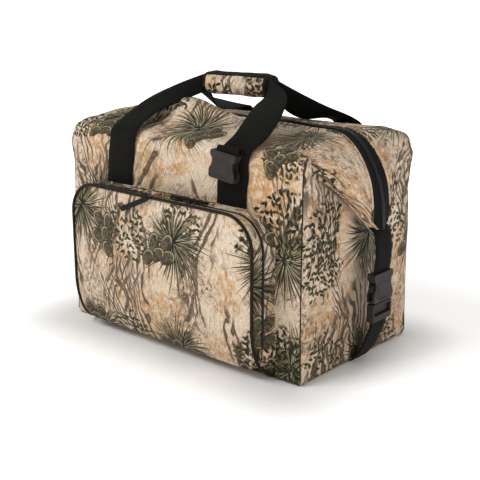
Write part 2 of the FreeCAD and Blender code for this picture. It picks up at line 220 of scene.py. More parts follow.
def quads(columns, rows, wrap=False, keep=None):
    """Faces of a grid of points stored row by row."""
    faces = []
    for j in range(rows - 1):
        here = j * columns
        there = here + columns
        for i in range(columns if wrap else columns - 1):
            if keep is None or keep(i, j):
                k = (i + 1) % columns
                faces.append((here + i, here + k, there + k, there + i))
    return faces


def grid(name, across, along, place, material, keep=None, flip=False):
    """A sheet of quads: place(u, v) gives each point and its (u, v) in the print."""
    spots = [place(u, v) for v in along for u in across]
    faces = quads(len(across), len(along), keep=keep)
    if flip:
        faces = [face[::-1] for face in faces]
    return piece(name, [s[0] for s in spots], faces, material, [s[1] for s in spots])


def loft(name, rings, material):
    """A capped skin through rings; the print's v runs along them and its u round them."""
    sides = len(rings[0])
    points = []
    uvs = []
    run = 0.0
    before = None
    for ring in rings:
        centre = sum(ring, Vector()) / sides
        if before is not None:
            run += (centre - before).length
        before = centre
        round_run = 0.0
        for k, point in enumerate(ring):
            if k:
                round_run += (point - ring[k - 1]).length
            points.append(point)
            uvs.append((round_run, run))
    faces = quads(sides, len(rings), wrap=True)
    faces.append(tuple(range(sides))[::-1])
    faces.append(tuple(range(len(points) - sides, len(points))))
    return piece(name, points, faces, material, uvs)


def joined(name, parts):
    """Several meshes made one, welded where their edges meet."""
    work = bmesh.new()
    for part in parts:
        work.from_mesh(part.data)
    bmesh.ops.remove_doubles(work, verts=work.verts, dist=0.05 * MM)
    loose = [v for v in work.verts if not v.link_faces]
    bmesh.ops.delete(work, geom=loose, context="VERTS")
    mesh = bpy.data.meshes.new(name)
    work.to_mesh(mesh)
    work.free()
    mesh.materials.append(parts[0].data.materials[0])
    for part in parts:
        bpy.data.objects.remove(part)
    return linked(name, mesh)


def tidy_normals(obj):
    """Turns every face of a mesh outwards."""
    work = bmesh.new()
    work.from_mesh(obj.data)
    bmesh.ops.recalc_face_normals(work, faces=work.faces)
    work.to_mesh(obj.data)
    work.free()


def rounded(obj, width):
    """Bevels an object's sharp edges."""
    bevel = obj.modifiers.new("rounding", "BEVEL")
    bevel.width = width
    bevel.segments = 2
    bevel.limit_method = "ANGLE"
    return bevel


def catmull(keys, share):
    """A point of the smooth curve through the keys; share runs from 0 to 1."""
    last = len(keys) - 1
    place = clamp(share, 0.0, 1.0) * last
    i = min(int(place), last - 1)
    t = place - i
    a = keys[max(i - 1, 0)]
    b = keys[i]
    c = keys[i + 1]
    d = keys[min(i + 2, last)]
    return 0.5 * (2 * b + (c - a) * t + (2 * a - 5 * b + 4 * c - d) * t * t
                  + (3 * b - a - 3 * c + d) * t ** 3)


def smooth_route(keys, step):
    """Points about a step apart along the smooth curve through the keys."""
    length = sum((b - a).length for a, b in zip(keys, keys[1:]))
    count = max(4, int(length / step))
    return [catmull(keys, i / count) for i in range(count + 1)]


def heading(route, i):
    """The way a route runs at one of its points."""
    return (route[min(i + 1, len(route) - 1)] - route[max(i - 1, 0)]).normalized()


def tube(name, route, radius, material, sides, thin=1.0):
    """A round cord along a route; thin scales the radius of every other ring."""
    rings = []
    for i, centre in enumerate(route):
        way = heading(route, i)
        helper = Vector((0, 1, 0)) if abs(way.y) < 0.8 else Vector((0, 0, 1))
        side = way.cross(helper).normalized()
        over = side.cross(way)
        size = radius * (1.0 if i % 2 else thin)
        turns = [2 * math.pi * k / sides for k in range(sides)]
        rings.append([centre + (side * math.cos(a) + over * math.sin(a)) * size for a in turns])
    return loft(name, rings, material)


WEBBING_TOP = (
    (1.0, 0.4), (0.97, 1.0), (0.5, 0.88), (0.0, 0.9), (-0.5, 0.88), (-0.97, 1.0), (-1.0, 0.4))
WEBBING_SECTION = WEBBING_TOP + tuple((-a, -b) for a, b in WEBBING_TOP)


def section_ring(centre, wide, thick):
    """The points round a strap, from its centre, half width and half thickness."""
    return [centre + wide * a + thick * b for a, b in WEBBING_SECTION]


def webbing(name, rings, half):
    """A woven strap through rings, with the print's u measured across it."""
    obj = loft(name, rings, WEBBING)
    layer = obj.data.uv_layers[UV]
    count = len(WEBBING_SECTION)
    for loop in obj.data.loops:
        layer.data[loop.index].uv.x = WEBBING_SECTION[loop.vertex_index % count][0] * half
    tidy_normals(obj)
    return obj


def strap(name, keys, axis, half, step):
    """A strap lying along the smooth curve through the keys, its width along an axis."""
    route = smooth_route(keys, step)
    rings = [section_ring(centre, axis * half, heading(route, i).cross(axis) * MM)
             for i, centre in enumerate(route)]
    return webbing(name, rings, half)


def block(parts, x0, x1, y0, y1, z0, z1):
    """Adds a box to a list of (points, faces) parts."""
    corners = [Vector((x, y, z)) for z in (z0, z1) for y in (y0, y1) for x in (x0, x1)]
    faces = [(0, 2, 3, 1), (4, 5, 7, 6), (0, 1, 5, 4), (2, 6, 7, 3), (0, 4, 6, 2), (1, 3, 7, 5)]
    parts.append((corners, faces))


def plate(parts, outline, y0, y1):
    """Adds an (x, z) outline pushed from y0 to y1 to a list of parts."""
    count = len(outline)
    points = [Vector((x, y, z)) for y in (y0, y1) for x, z in outline]
    faces = [tuple(range(count)), tuple(range(count, 2 * count))[::-1]]
    for k in range(count):
        n = (k + 1) % count
        faces.append((k, k + count, n + count, n))
    parts.append((points, faces))


def moulded(name, parts, material, move, bevel):
    """One bevelled object from solid parts, moved into place by a matrix."""
    points = []
    faces = []
    for corners, sides in parts:
        base = len(points)
        points += [move @ (p * MM) for p in corners]
        faces += [tuple(base + k for k in side) for side in sides]
    uvs = [(p.x + p.y, p.z) for p in points]
    obj = piece(name, points, faces, material, uvs)
    tidy_normals(obj)
    rounded(obj, bevel)
    obj.data.set_sharp_from_angle(angle=SHARP)
    return obj


# ---- Materials -------------------------------------------------------------
def connect(tree, place, value):
    """Links a number or socket to an input, or sets the input to a plain value."""
    if isinstance(value, Num):
        tree.links.new(value.socket, place)
    elif isinstance(value, bpy.types.NodeSocket):
        tree.links.new(value, place)
    else:
        place.default_value = value


def new_node(tree, kind, setting=None, **inputs):
    """A shader node with one setting made and its inputs filled; _ stands for a space."""
    node = tree.nodes.new("ShaderNode" + kind)
    if setting:
        setattr(node, *setting)
    for name, value in inputs.items():
        connect(tree, node.inputs[name.replace("_", " ")], value)
    return node


def split(tree, place):
    """The x, y and z of a vector socket."""
    return [Num(output) for output in new_node(tree, "SeparateXYZ", Vector=place).outputs]


class Num:
    """A number that varies over a surface: one output of a material's nodes."""

    def __init__(self, socket):
        self.socket = socket
        self.tree = socket.id_data

    def maths(self, operation, *values):
        node = new_node(self.tree, "Math", ("operation", operation))
        for place, value in zip(node.inputs, (self,) + values):
            connect(self.tree, place, value)
        return Num(node.outputs[0])

    __add__ = functools.partialmethod(maths, "ADD")
    __sub__ = functools.partialmethod(maths, "SUBTRACT")
    __mul__ = functools.partialmethod(maths, "MULTIPLY")
    __truediv__ = functools.partialmethod(maths, "DIVIDE")
    floor = functools.partialmethod(maths, "FLOOR")
    fract = functools.partialmethod(maths, "FRACT")
    size = functools.partialmethod(maths, "ABSOLUTE")
    sine = functools.partialmethod(maths, "SINE")
    cosine = functools.partialmethod(maths, "COSINE")
    top = functools.partialmethod(maths, "MAXIMUM")
    over = functools.partialmethod(maths, "GREATER_THAN")

    def rsub(self, other):
        return (self * -1.0) + other

    def smooth(self, start, stop):
        """0 at start and 1 at stop, smooth between; start may be the larger."""
        flip = start > stop
        node = new_node(
            self.tree, "MapRange", ("interpolation_type", "SMOOTHSTEP"), Value=self,
            From_Min=min(start, stop), From_Max=max(start, stop),
            To_Min=float(flip), To_Max=float(not flip))
        return Num(node.outputs[0])

    def random(self):
        """A random number for each whole value."""
        node = new_node(self.tree, "TexWhiteNoise", ("noise_dimensions", "1D"), W=self)
        return Num(node.outputs["Value"])


class Plane:
    """A place in the flat cloth, in metres."""

    def __init__(self, x, y):
        self.x = x
        self.y = y
        self.tree = x.tree

    def vector(self, scale, shift):
        x = self.x * scale[0] + shift[0]
        y = self.y * scale[1] + shift[1]
        return new_node(self.tree, "CombineXYZ", X=x, Y=y).outputs[0]

    def rotated(self, c, s):
        return Plane(self.x * c + self.y * s, self.y * c - self.x * s)

    def turned(self, degrees):
        return self.rotated(math.cos(math.radians(degrees)), math.sin(math.radians(degrees)))

    def leaned(self, lean):
        """Turned by an angle that varies over the surface."""
        return self.rotated(lean.cosine(), lean.sine())

    def shifted(self, x, y):
        return Plane(self.x - x, self.y - y)

    def reach(self):
        return (self.x * self.x + self.y * self.y).maths("SQRT")

    def turn(self):
        """Direction from the middle, as a share of a full turn."""
        return self.y.maths("ARCTAN2", self.x) / (2 * math.pi) + 0.5

    def noise(self, scale, detail=2.0, shift=(0.0, 0.0), rough=0.5, warp=0.0):
        """Smooth noise; scale is features per metre, or one for each direction."""
        scale = scale if isinstance(scale, tuple) else (scale, scale)
        node = new_node(
            self.tree, "TexNoise", ("noise_dimensions", "2D"), Vector=self.vector(scale, shift),
            Scale=1.0, Detail=detail, Roughness=rough, Distortion=warp)
        return Num(node.outputs["Fac"])

    def cells(self, size, scatter, shift):
        """The place within scattered cells, and two random numbers for each."""
        place = self.vector((1 / size, 1 / size), shift)
        node = new_node(self.tree, "TexVoronoi", ("voronoi_dimensions", "2D"), Vector=place,
                        Scale=1.0, Randomness=scatter)
        away = new_node(self.tree, "VectorMath", ("operation", "SUBTRACT"))
        connect(self.tree, away.inputs[0], place)
        connect(self.tree, away.inputs[1], node.outputs["Position"])
        x, y = split(self.tree, away.outputs[0])[:2]
        colour = new_node(self.tree, "SeparateColor", Color=node.outputs["Color"])
        return Plane(x * size, y * size), Num(colour.outputs[0]), Num(colour.outputs[1])


def srgb(code):
    """A colour code such as d9c7b4 as linear red, green, blue and alpha."""
    parts = [int(code[i:i + 2], 16) / 255 for i in (0, 2, 4)]
    linear = [c / 12.92 if c < 0.04045 else ((c + 0.055) / 1.055) ** 2.4 for c in parts]
    return tuple(linear) + (1.0,)


class Material:
    """A principled material whose colour is painted layer over layer."""

    def __init__(self, name, colour, roughness, specular, sheen=0.0):
        self.material = bpy.data.materials.new(name)
        self.material.use_nodes = True
        self.tree = self.material.node_tree
        self.shader = self.tree.nodes["Principled BSDF"]
        self.set("Roughness", roughness)
        self.set("Specular IOR Level", specular)
        self.set("Sheen Weight", sheen)
        self.set("Sheen Roughness", 0.4)
        self.colour = srgb(colour)
        printed = new_node(self.tree, "UVMap", ("uv_map", UV))
        self.plane = Plane(*split(self.tree, printed.outputs[0])[:2])

    def set(self, name, value):
        connect(self.tree, self.shader.inputs[name], value)

    def own_place(self):
        """The x, y and z of a place from the object's own axes."""
        return split(self.tree, new_node(self.tree, "TexCoord").outputs["Object"])

    def solid_plane(self):
        """For CAD nodes, which have no print map: a place from the part's own axes."""
        x, y, z = self.own_place()
        self.plane = Plane(x + y * 0.7, z + y * 0.3)

    def beyond(self, half_x, half_y, middle_y):
        """Distance outside a rectangle on the object's own floor plan."""
        x, y = self.own_place()[:2]
        x = (x.size() - half_x).top(0.0)
        y = ((y - middle_y).size() - half_y).top(0.0)
        return Plane(x, y).reach()

    def paint(self, colour, share):
        """Lays a colour code over what is there, by a share."""
        node = new_node(self.tree, "Mix", ("data_type", "RGBA"),
                        Factor=share, A=self.colour, B=srgb(colour))
        self.colour = node.outputs["Result"]

    def shade(self, amount):
        """Multiplies the colour by a number that varies round 1."""
        node = new_node(self.tree, "VectorMath", ("operation", "SCALE"), Scale=amount)
        flat = isinstance(self.colour, tuple)
        connect(self.tree, node.inputs[0], self.colour[:3] if flat else self.colour)
        self.colour = node.outputs[0]

    def finish(self, height=None, depth=0.0, rough=None):
        self.set("Base Color", self.colour)
        if height is not None:
            bump = new_node(self.tree, "Bump", Strength=1.0, Distance=depth, Height=height)
            self.set("Normal", bump.outputs[0])
        if rough is not None:
            self.set("Roughness", rough)
        return self.material


def weave(plane, pitch):
    """Height of a plain weave with threads a pitch apart."""
    across = (plane.x * (2 * math.pi / pitch)).sine()
    along = (plane.y * (2 * math.pi / pitch)).sine()
    return across * along * 0.5 + 0.5


def paint_ground(m):
    """Pale sand with drifts of tan and brown, mottled and brushed over."""
    p = m.plane
    drift = p.noise(8.5, 6.0, (3.0, 8.0), 0.68)
    grains = p.noise(90.0, 4.0, (1.0, 4.0), 0.7)
    m.paint("c09260", drift.smooth(0.44, 0.58) * grains.smooth(0.36, 0.56) * 0.9)
    brown = p.noise(10.0, 6.0, (31.0, 2.0), 0.7)
    mottle = p.noise(150.0, 5.0, (6.0, 3.0), 0.75)
    m.paint("8f7661", brown.smooth(0.46, 0.60) * mottle.smooth(0.42, 0.58) * 0.85)
    m.paint("5a4839", brown.smooth(0.52, 0.64) * mottle.smooth(0.52, 0.64) * 0.85)
    brushed = ((4.0, 7.0, "55453a"), (34.0, 17.0, "7a5433"), (-31.0, 27.0, "4e4634"))
    for degrees, shift, colour in brushed:
        strokes = p.turned(degrees).noise((380.0, 62.0), 4.0, (shift, 1.0), 0.62, 0.5)
        patches = p.noise(13.0, 4.0, (shift * 1.7, 15.0), 0.6).smooth(0.46, 0.56)
        m.paint(colour, strokes.smooth(0.55, 0.64) * patches * 0.5)
    light = p.turned(-20.0).noise((300.0, 70.0), 3.0, (2.0, 29.0), 0.6)
    m.paint("eadccd", light.smooth(0.58, 0.70) * 0.6)
    m.paint("4a3e33", p.noise(520.0, 2.0, (8.0, 1.0)).smooth(0.68, 0.74) * 0.6)
    m.shade(p.noise(380.0, 4.0, (1.0, 1.0), 0.75) * 0.7 + 0.65)


def paint_twigs(m):
    """Bark and forking branch lines, drawn in drifts."""
    drifts = ((9.0, 4.0, 84.0, 0.59), (-24.0, 19.0, 60.0, 0.62), (16.0, 43.0, 150.0, 0.60))
    for degrees, shift, pitch, edge in drifts:
        p = m.plane.turned(degrees)
        bend = p.noise((15.0, 8.0), 3.0, (shift, 2.0)) * (pitch * 0.075)
        bend = bend + p.noise((95.0, 38.0), 2.0, (2.0, shift)) * 0.7
        line = ((p.x * pitch + bend).fract() - 0.5).size()
        wide = p.noise((70.0, 14.0), 3.0, (shift, shift)) * 0.42
        here = p.noise((12.0, 3.2), 3.0, (shift, 33.0)).smooth(edge - 0.03, edge + 0.03)
        m.paint("b09a84", (wide - line).smooth(-0.10, 0.0) * here * 0.6)
        m.paint("44362b", (wide - line).smooth(0.0, 0.06) * here * 0.9)
        bare = p.noise(260.0, 2.0).smooth(0.45, 0.6)
        m.paint("8b735e", (wide - line).smooth(0.10, 0.2) * here * bare * 0.7)


def paint_leaves(m, size, cluster, shift, colours, amount):
    """Sprays of small pointed leaves, in overlapping layers."""
    spray, a = m.plane.cells(cluster, 0.6, (shift, shift * 2.0))[:2]
    ragged = m.plane.noise(45.0, 3.0, (shift, 7.0)) * 0.05
    near = (spray.reach() + ragged).smooth(cluster * 0.42 + 0.02, cluster * 0.33 + 0.02)
    near = near * a.over(1.0 - amount)
    for number, (colour, pale) in enumerate(colours):
        leaf, c, d = m.plane.cells(size, 0.8, (shift * 3.0 + number * 5.0, 1.0))
        lean = spray.turn() * (2 * math.pi) + (c - 0.5) * 2.4
        leaf = leaf.leaned(lean)
        across = leaf.y
        slim = (leaf.x / (size * 0.62)).maths("POWER", 2.0).rsub(1.0) * (size * 0.24)
        mask = (slim - across.size()).smooth(0.0, size * 0.04) * near * d.over(0.18)
        m.paint(colour, mask)
        m.paint(pale, mask * across.smooth(0.0, size * 0.16) * 0.5)
        m.paint("1c1911", mask * (slim - across.size()).smooth(size * 0.07, 0.0) * 0.3)


# Each ring of blades: how many, their length, their width in mm, colour and turn.
BLADES = (
    (21, 1.00, 1.7, "5f553e", 0.12), (25, 0.96, 1.6, "322c20", 0.31),
    (19, 0.88, 1.8, "8b8061", 0.77), (29, 0.84, 1.5, "2a251a", 0.05),
    (23, 0.70, 1.8, "4e4632", 0.53), (27, 0.58, 1.6, "211d15", 0.93),
    (17, 0.48, 1.8, "70664b", 0.41), (15, 0.30, 1.8, "1a1711", 0.66),
)


def paint_rosettes(m, size, radius, shift, amount):
    """Spiky desert rosettes of long narrow blades."""
    local, a, b = m.plane.cells(size, 0.30, (shift, shift * 1.7))
    local = Plane(local.x, local.y + local.reach() * 0.12)
    reach = local.reach()
    shown = b.over(1.0 - amount)
    curl = (a - 0.5) * 2.0
    for count, length, wide, colour, start in BLADES:
        turn = (local.turn() + a + curl * reach + start).fract() * float(count)
        number = turn.floor()
        within = turn.fract() - 0.5 - ((number + a * 57.0).random() - 0.5) * 0.5
        offset = within.size() * reach * (2 * math.pi / count)
        tip = (number * 1.71 + b * 91.0 + float(count)).random() * 0.38 + 0.62
        share = reach / (tip * (length * radius))
        half = (share * share).rsub(1.0) * (wide * MM)
        mask = (half - offset).smooth(0.0, 0.35 * MM) * shown
        m.paint(colour, mask)
        chosen = (number + b * 13.0).random().over(0.55)
        m.paint("cfc6a6", mask * within.smooth(0.0, 0.12) * chosen * 0.6)
        m.paint("15140e", mask * (half - offset).smooth(0.5 * MM, 0.1 * MM) * 0.55)


# Each cactus pad: its place, half width and half height in mm, and its lean.
PADS = (
    (1.0, 20.0, 9.0, 14.5, 14.0), (17.0, 8.0, 9.5, 15.0, -18.0), (-13.0, 0.0, 9.5, 13.5, 36.0),
    (4.0, -6.0, 9.0, 14.0, -6.0), (-3.0, -24.0, 9.0, 12.5, 12.0),
)


def paint_pads(m, size, shift, amount):
    """Clumps of thick oval cactus pads with pale rims and spots."""
    local, a, b = m.plane.cells(size, 0.45, (shift, shift * 0.6))
    shown = b.over(1.0 - amount)
    clump = local.leaned(a * 2.4 - 1.2)
    spots = m.plane.cells(4.5 * MM, 0.7, (shift, 3.0))[0].reach().smooth(0.75 * MM, 0.35 * MM)
    mottle = m.plane.noise(190.0, 4.0, (shift, 1.0), 0.65)
    for x, y, wide, tall, degrees in PADS:
        pad = clump.shifted(x * MM, y * MM).turned(degrees)
        edge = Plane(pad.x / (wide * MM), pad.y / (tall * MM)).reach()
        inside = edge.smooth(1.03, 0.97) * shown
        m.paint("1f1c15", edge.smooth(1.13, 1.05) * shown * 0.9)
        m.paint("5b533e", inside)
        m.paint("352f26", inside * mottle.smooth(0.42, 0.60) * 0.9)
        m.paint("25231a", inside * (pad.x - pad.y * 0.3).smooth(2.0 * MM, 9.0 * MM) * 0.6)
        lit = (pad.x * -1.0 + pad.y).smooth(-1.0 * MM, 7.0 * MM)
        bright = edge.smooth(0.74, 0.86) * edge.smooth(0.97, 0.90) * lit
        m.paint("aca182", bright * shown * 0.8)
        m.paint("a89c80", inside * spots * edge.smooth(0.9, 0.7) * 0.4)
        m.paint("a5703d", inside * (pad.y / (tall * MM)).smooth(-0.55, -1.0) * 0.5)


def camo_fabric():
    m = Material("camo_fabric", "d4c1a9", 0.72, 0.15, 0.05)
    paint_ground(m)
    paint_twigs(m)
    paint_leaves(m, 9.0 * MM, 0.125, 11.0, (("4f4a34", "7d7456"), ("322e1f", "5a543b")), 0.46)
    paint_rosettes(m, 0.170, 0.080, 23.0, 0.80)
    paint_pads(m, 0.150, 37.0, 0.62)
    paint_leaves(m, 10.0 * MM, 0.135, 5.0, (("403c2a", "726b4b"), ("272419", "4b4632")), 0.46)
    height = weave(m.plane, 1.1 * MM) * 0.5 + m.plane.noise(700.0, 2.0) * 0.5
    return m.finish(height, 0.10 * MM)


def black_weave(name, colour, pitch, roughness, pale):
    """Coarse dark webbing or tape, with the raised thread tops painted paler as a painted highlight."""
    m = Material(name, colour, roughness, 0.12, 0.02)
    p = m.plane
    ribs = (p.y * (2 * math.pi / pitch)).sine() * 0.5 + 0.5
    stagger = (p.y * (math.pi / pitch)).floor() * 1.6
    rows = (p.x * (2 * math.pi / (pitch * 2.2)) + stagger).sine() * 0.5 + 0.5
    height = ribs * 0.6 + rows * 0.4
    # Painted highlight: pale colour laid on the raised thread tops, where the bump is highest.
    m.paint(pale, height.smooth(0.55, 1.0) * 0.35)
    m.shade(p.noise(60.0, 3.0) * 0.5 + 0.75)
    return m.finish(height, 0.35 * MM)


def coil_nylon():
    m = Material("coil_nylon", "131415", 0.45, 0.3)
    m.paint("2c2e31", m.plane.noise(500.0, 2.0).smooth(0.5, 0.7) * 0.6)
    return m.finish(m.plane.noise(900.0, 2.0), 0.08 * MM)


def plastic(name, colour, pale, roughness):
    """Moulded plastic with a fine spark-eroded texture and faint scuffs."""
    m = Material(name, colour, roughness, 0.2)
    m.solid_plane()
    grain = m.plane.noise(1400.0, 2.0)
    m.paint(pale, m.plane.noise(55.0, 4.0, (4.0, 4.0)).smooth(0.52, 0.75) * 0.35)
    m.paint(pale, m.plane.noise((90.0, 900.0), 3.0).smooth(0.66, 0.74) * 0.25)
    rough = m.plane.noise(80.0, 3.0) * 0.2 + (roughness - 0.1)
    return m.finish(grain, 0.06 * MM, rough)


def painted_metal():
    m = Material("slider_paint", "8a7558", 0.45, 0.5)
    m.solid_plane()
    m.paint("5b4a36", m.plane.noise(180.0, 3.0).smooth(0.5, 0.62))
    m.paint("c7b08c", m.plane.noise(260.0, 3.0, (9.0, 1.0)).smooth(0.60, 0.72) * 0.7)
    return m.finish(m.plane.noise(600.0, 2.0), 0.05 * MM)


def liner_film(cad=False):
    """Pale grey waterproof film with faint crinkles."""
    m = Material("liner_film", "b9bdbf", 0.34, 0.5)
    if cad:
        m.solid_plane()
    crinkle = m.plane.noise(45.0, 5.0, (2.0, 2.0), 0.6, 0.8)
    m.paint("8d9295", crinkle.smooth(0.52, 0.7) * 0.4)
    return m.finish(crinkle, 1.2 * MM)


CAMO = camo_fabric()
WEBBING = black_weave("webbing", "100f0d", 1.6 * MM, 0.85, "1e1c1a")
TAPE = black_weave("zip_tape", "121212", 0.9 * MM, 0.85, "1e1e1e")
BINDING = black_weave("binding", "171513", 1.2 * MM, 0.75, "2a2724")
PIPING = black_weave("piping", "211a14", 1.4 * MM, 0.6, "40342a")
COIL = coil_nylon()
BUCKLE = plastic("buckle_plastic", "2b2725", "403a37", 0.5)
RUBBER = plastic("pull_rubber", "0b0c0e", "1b1d20", 0.62)
SLIDER = painted_metal()
LINER = liner_film()
LINER_CAD = liner_film(cad=True)


# ---- Body ------------------------------------------------------------------
def lines(*stops, step=STEP):
    """Grid lines through every stop, about a step apart."""
    found = []
    for a, b in zip(stops, stops[1:]):
        found += list(spaced(a, b, step))[:-1]
    return found + [stops[-1]]


X_LINES = lines(-HALF_LENGTH, -HALF_LENGTH + CORNER, -LID_HALF,
                LID_HALF, HALF_LENGTH - CORNER, HALF_LENGTH)
Y_LINES = lines(-HALF_WIDTH, -EAR_SIDE, EAR_SIDE, HALF_WIDTH)
Z_LINES = lines(0.0, BASE_ROUND, EAR_FOOT, FOLD_Z, EDGE)
TOP_V = EDGE + HALF_WIDTH


def body_skin():
    """The fabric of the walls, base and fixed parts of the top, in one piece."""
    parts = []
    for side in (-1, 1):
        def wall(x, z):
            return soft_point(x, side * HALF_WIDTH, z), (x * -side + REAR_PRINT * (side > 0), z)

        def wall_kept(i, j):
            x = (X_LINES[i] + X_LINES[i + 1]) / 2
            return abs(x) > LID_HALF or Z_LINES[j] < FOLD_Z - 0.1 * MM

        parts.append(grid("wall", X_LINES, Z_LINES, wall, CAMO, wall_kept, side > 0))

        def end(y, z):
            return soft_point(side * HALF_LENGTH, y, z), (y * side + END_PRINT + side * END_PRINT_STEP, z)

        def end_kept(i, j):
            y = (Y_LINES[i] + Y_LINES[i + 1]) / 2
            return abs(y) > EAR_SIDE or Z_LINES[j] < FOLD_Z - 0.1 * MM

        parts.append(grid("end", Y_LINES, Z_LINES, end, CAMO, end_kept, side < 0))

        def top(x, y):
            return soft_point(x, y, EDGE), (x, TOP_V + y)

        def top_kept(i, j):
            x = (X_LINES[i] + X_LINES[i + 1]) / 2
            y = (Y_LINES[j] + Y_LINES[j + 1]) / 2
            return abs(x) > LID_HALF and abs(y) > EAR_SIDE and x * side > 0

        parts.append(grid("top", X_LINES, Y_LINES, top, CAMO, top_kept))

    def base(x, y):
        return soft_point(x, y, 0.0), (x, -y - BASE_PRINT)

    parts.append(grid("base", X_LINES, Y_LINES, base, CAMO, None, True))
    return joined("body_skin", parts)


skin = body_skin()
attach(skin, "shell")
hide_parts("base_panel", "front_panel", "rear_panel", "left_end_panel", "right_end_panel",
            "pocket_back", "base_foam")

for number, (sx, sy) in enumerate(((-1, -1), (1, -1), (1, 1), (-1, 1))):
    seam_route = [soft_point(sx * HALF_LENGTH, sy * HALF_WIDTH, z)
                  for z in spaced(6 * MM, FOLD_Z, 4 * MM)]
    seam = tube("corner_seam_{}".format(number + 1), seam_route, 0.8 * MM, PIPING, 8)
    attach(seam, "shell")
    if number == 0:
        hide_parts("corner_piping")


def rounded_loop(half_x, half_y, radius, low_radius, centre=0.0):
    """Points round a rounded rectangle: the same number whatever its size."""
    corners = ((1, -1, low_radius), (1, 1, radius), (-1, 1, radius), (-1, -1, low_radius))
    points = []
    turns = 8

    def corner_spot(sx, sy, r, degrees):
        a = math.radians(degrees)
        return (sx * (half_x - r) + r * math.cos(a), centre + sy * (half_y - r) + r * math.sin(a))

    for k, (sx, sy, r) in enumerate(corners):
        start = (-90, 0, 90, 180)[k]
        for i in range(turns):
            points.append(corner_spot(sx, sy, r, start + 90 * i / turns))
        first = corner_spot(sx, sy, r, start + 90)
        last = corner_spot(*corners[(k + 1) % 4], start + 90)
        straight = 24 if k % 2 else 18
        for i in range(straight):
            t = i / straight
            points.append((lerp(first[0], last[0], t), lerp(first[1], last[1], t)))
    return points


def rim_pad():
    """The foam's covered top edge, between the outer fabric and the liner."""
    outer_x = HALF_LENGTH - 3.5 * MM
    outer_y = HALF_WIDTH - 3.5 * MM
    inner_x = high("liner", 0) - 0.5 * MM
    inner_y = high("liner", 1) - 0.5 * MM
    points = []
    uvs = []
    rows = 6
    for j in range(rows):
        t = j / (rows - 1)
        hx = lerp(inner_x, outer_x, t)
        hy = lerp(inner_y, outer_y, t)
        z = RIM_Z - 3 * MM + 5 * MM * math.sin(math.pi * t)
        for x, y in rounded_loop(hx, hy, 6 * MM, 6 * MM):
            points.append(Vector((x, y, z)))
            uvs.append((x, y + t * 0.02))
    count = len(points) // rows
    faces = quads(count, rows, wrap=True)
    return piece("rim_pad", points, faces, LINER, uvs)


rim = rim_pad()
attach(rim, "shell")
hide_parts("front_foam", "rear_foam", "left_end_foam", "right_end_foam", "top_end_foam")


# ---- Ears ------------------------------------------------------------------
EAR_KEYS = [Vector((x * MM, 0, z * MM)) for x, z in (
    (172.5, 313.8), (192, 313.4), (206, 307), (222, 291), (236, 269), (246, 244),
    (251, 217), (252, 193), (250, 186), (244, 184), (234, 190), (223, 204),
)]
TUCK = 7.3 / 11
TUCK_DEEP = 8 * MM
TUCK_RISE = 3 * MM
RIDGE_ROUND = 9 * MM


def ear_place(side, y, t):
    """A point of the folded end of the top: t runs outwards, down and under."""
    first = HALF_LENGTH - LID_HALF
    run = min(t / TUCK, 1.0) * (first + EDGE - EAR_FOOT)
    if run < first:
        flat = soft_point(side * (LID_HALF + run), y, EDGE)
    else:
        flat = soft_point(side * HALF_LENGTH, y, EDGE - (run - first))
    under = clamp((t - TUCK) / (1 - TUCK), 0.0, 1.0)
    flat.x -= side * TUCK_DEEP * under
    flat.z += TUCK_RISE * under
    edge = math.hypot(EAR_SIDE, RIDGE_ROUND) - RIDGE_ROUND
    share = (math.hypot(y, RIDGE_ROUND) - RIDGE_ROUND) / edge
    grow = ramp(t, 0.0, 0.38)
    ridge = catmull(EAR_KEYS, t)
    place = Vector((
        lerp(flat.x, side * ridge.x, grow * (1 - share) ** 0.88),
        y,
        lerp(flat.z, ridge.z, grow * (1 - share) ** 1.22),
    ))
    full = math.sin(math.pi * share) * ramp(t, 0.12, 0.5) * (1 - ramp(t, TUCK - 0.06, TUCK + 0.12))
    crumple = noise.noise(Vector((t * 7.0, y * 30.0, side * 3.0 + 9.0))) * 3.0 * MM
    lift = full * (5 * MM + crumple)
    place += Vector((side * 0.75, 0, 0.65)) * lift
    place.y *= 1 - 0.03 * full
    return place


def ear_out(side, y, t):
    """The way out of the ear's surface."""
    along = ear_place(side, y, min(t + 0.01, 1.0)) - ear_place(side, y, max(t - 0.01, 0.0))
    across = ear_place(side, y + 2 * MM, t) - ear_place(side, y - 2 * MM, t)
    out = along.cross(across)
    out.normalize()
    return out * side


def ear_tape_half(t):
    """Half the width of zip tape showing, which opens out down the ear."""
    return lerp(TAPE_HALF, 19.5 * MM, ramp(t, 0.0, 0.42))


EAR_LENGTH = sum((b - a).length for a, b in zip(EAR_KEYS, EAR_KEYS[1:]))
EAR_T = spaced(0.0, 1.0, 1 / 64)
EAR_Y = lines(-EAR_SIDE, 0.0, EAR_SIDE, step=3 * MM)
EAR_TAPE_END = 7.15 / 11
COIL_RADIUS = 1.5 * MM
COIL_PITCH = 0.6 * MM
COIL_SIDE = 1.7 * MM
COIL_RISE = 1.9 * MM
COIL_THIN = 0.80


def ear_line(side, half_at, lift, shares):
    """A route down an ear, lifted off it, with its y given at each share of the way."""
    return [ear_place(side, half_at(t), t) + ear_out(side, half_at(t), t) * lift for t in shares]


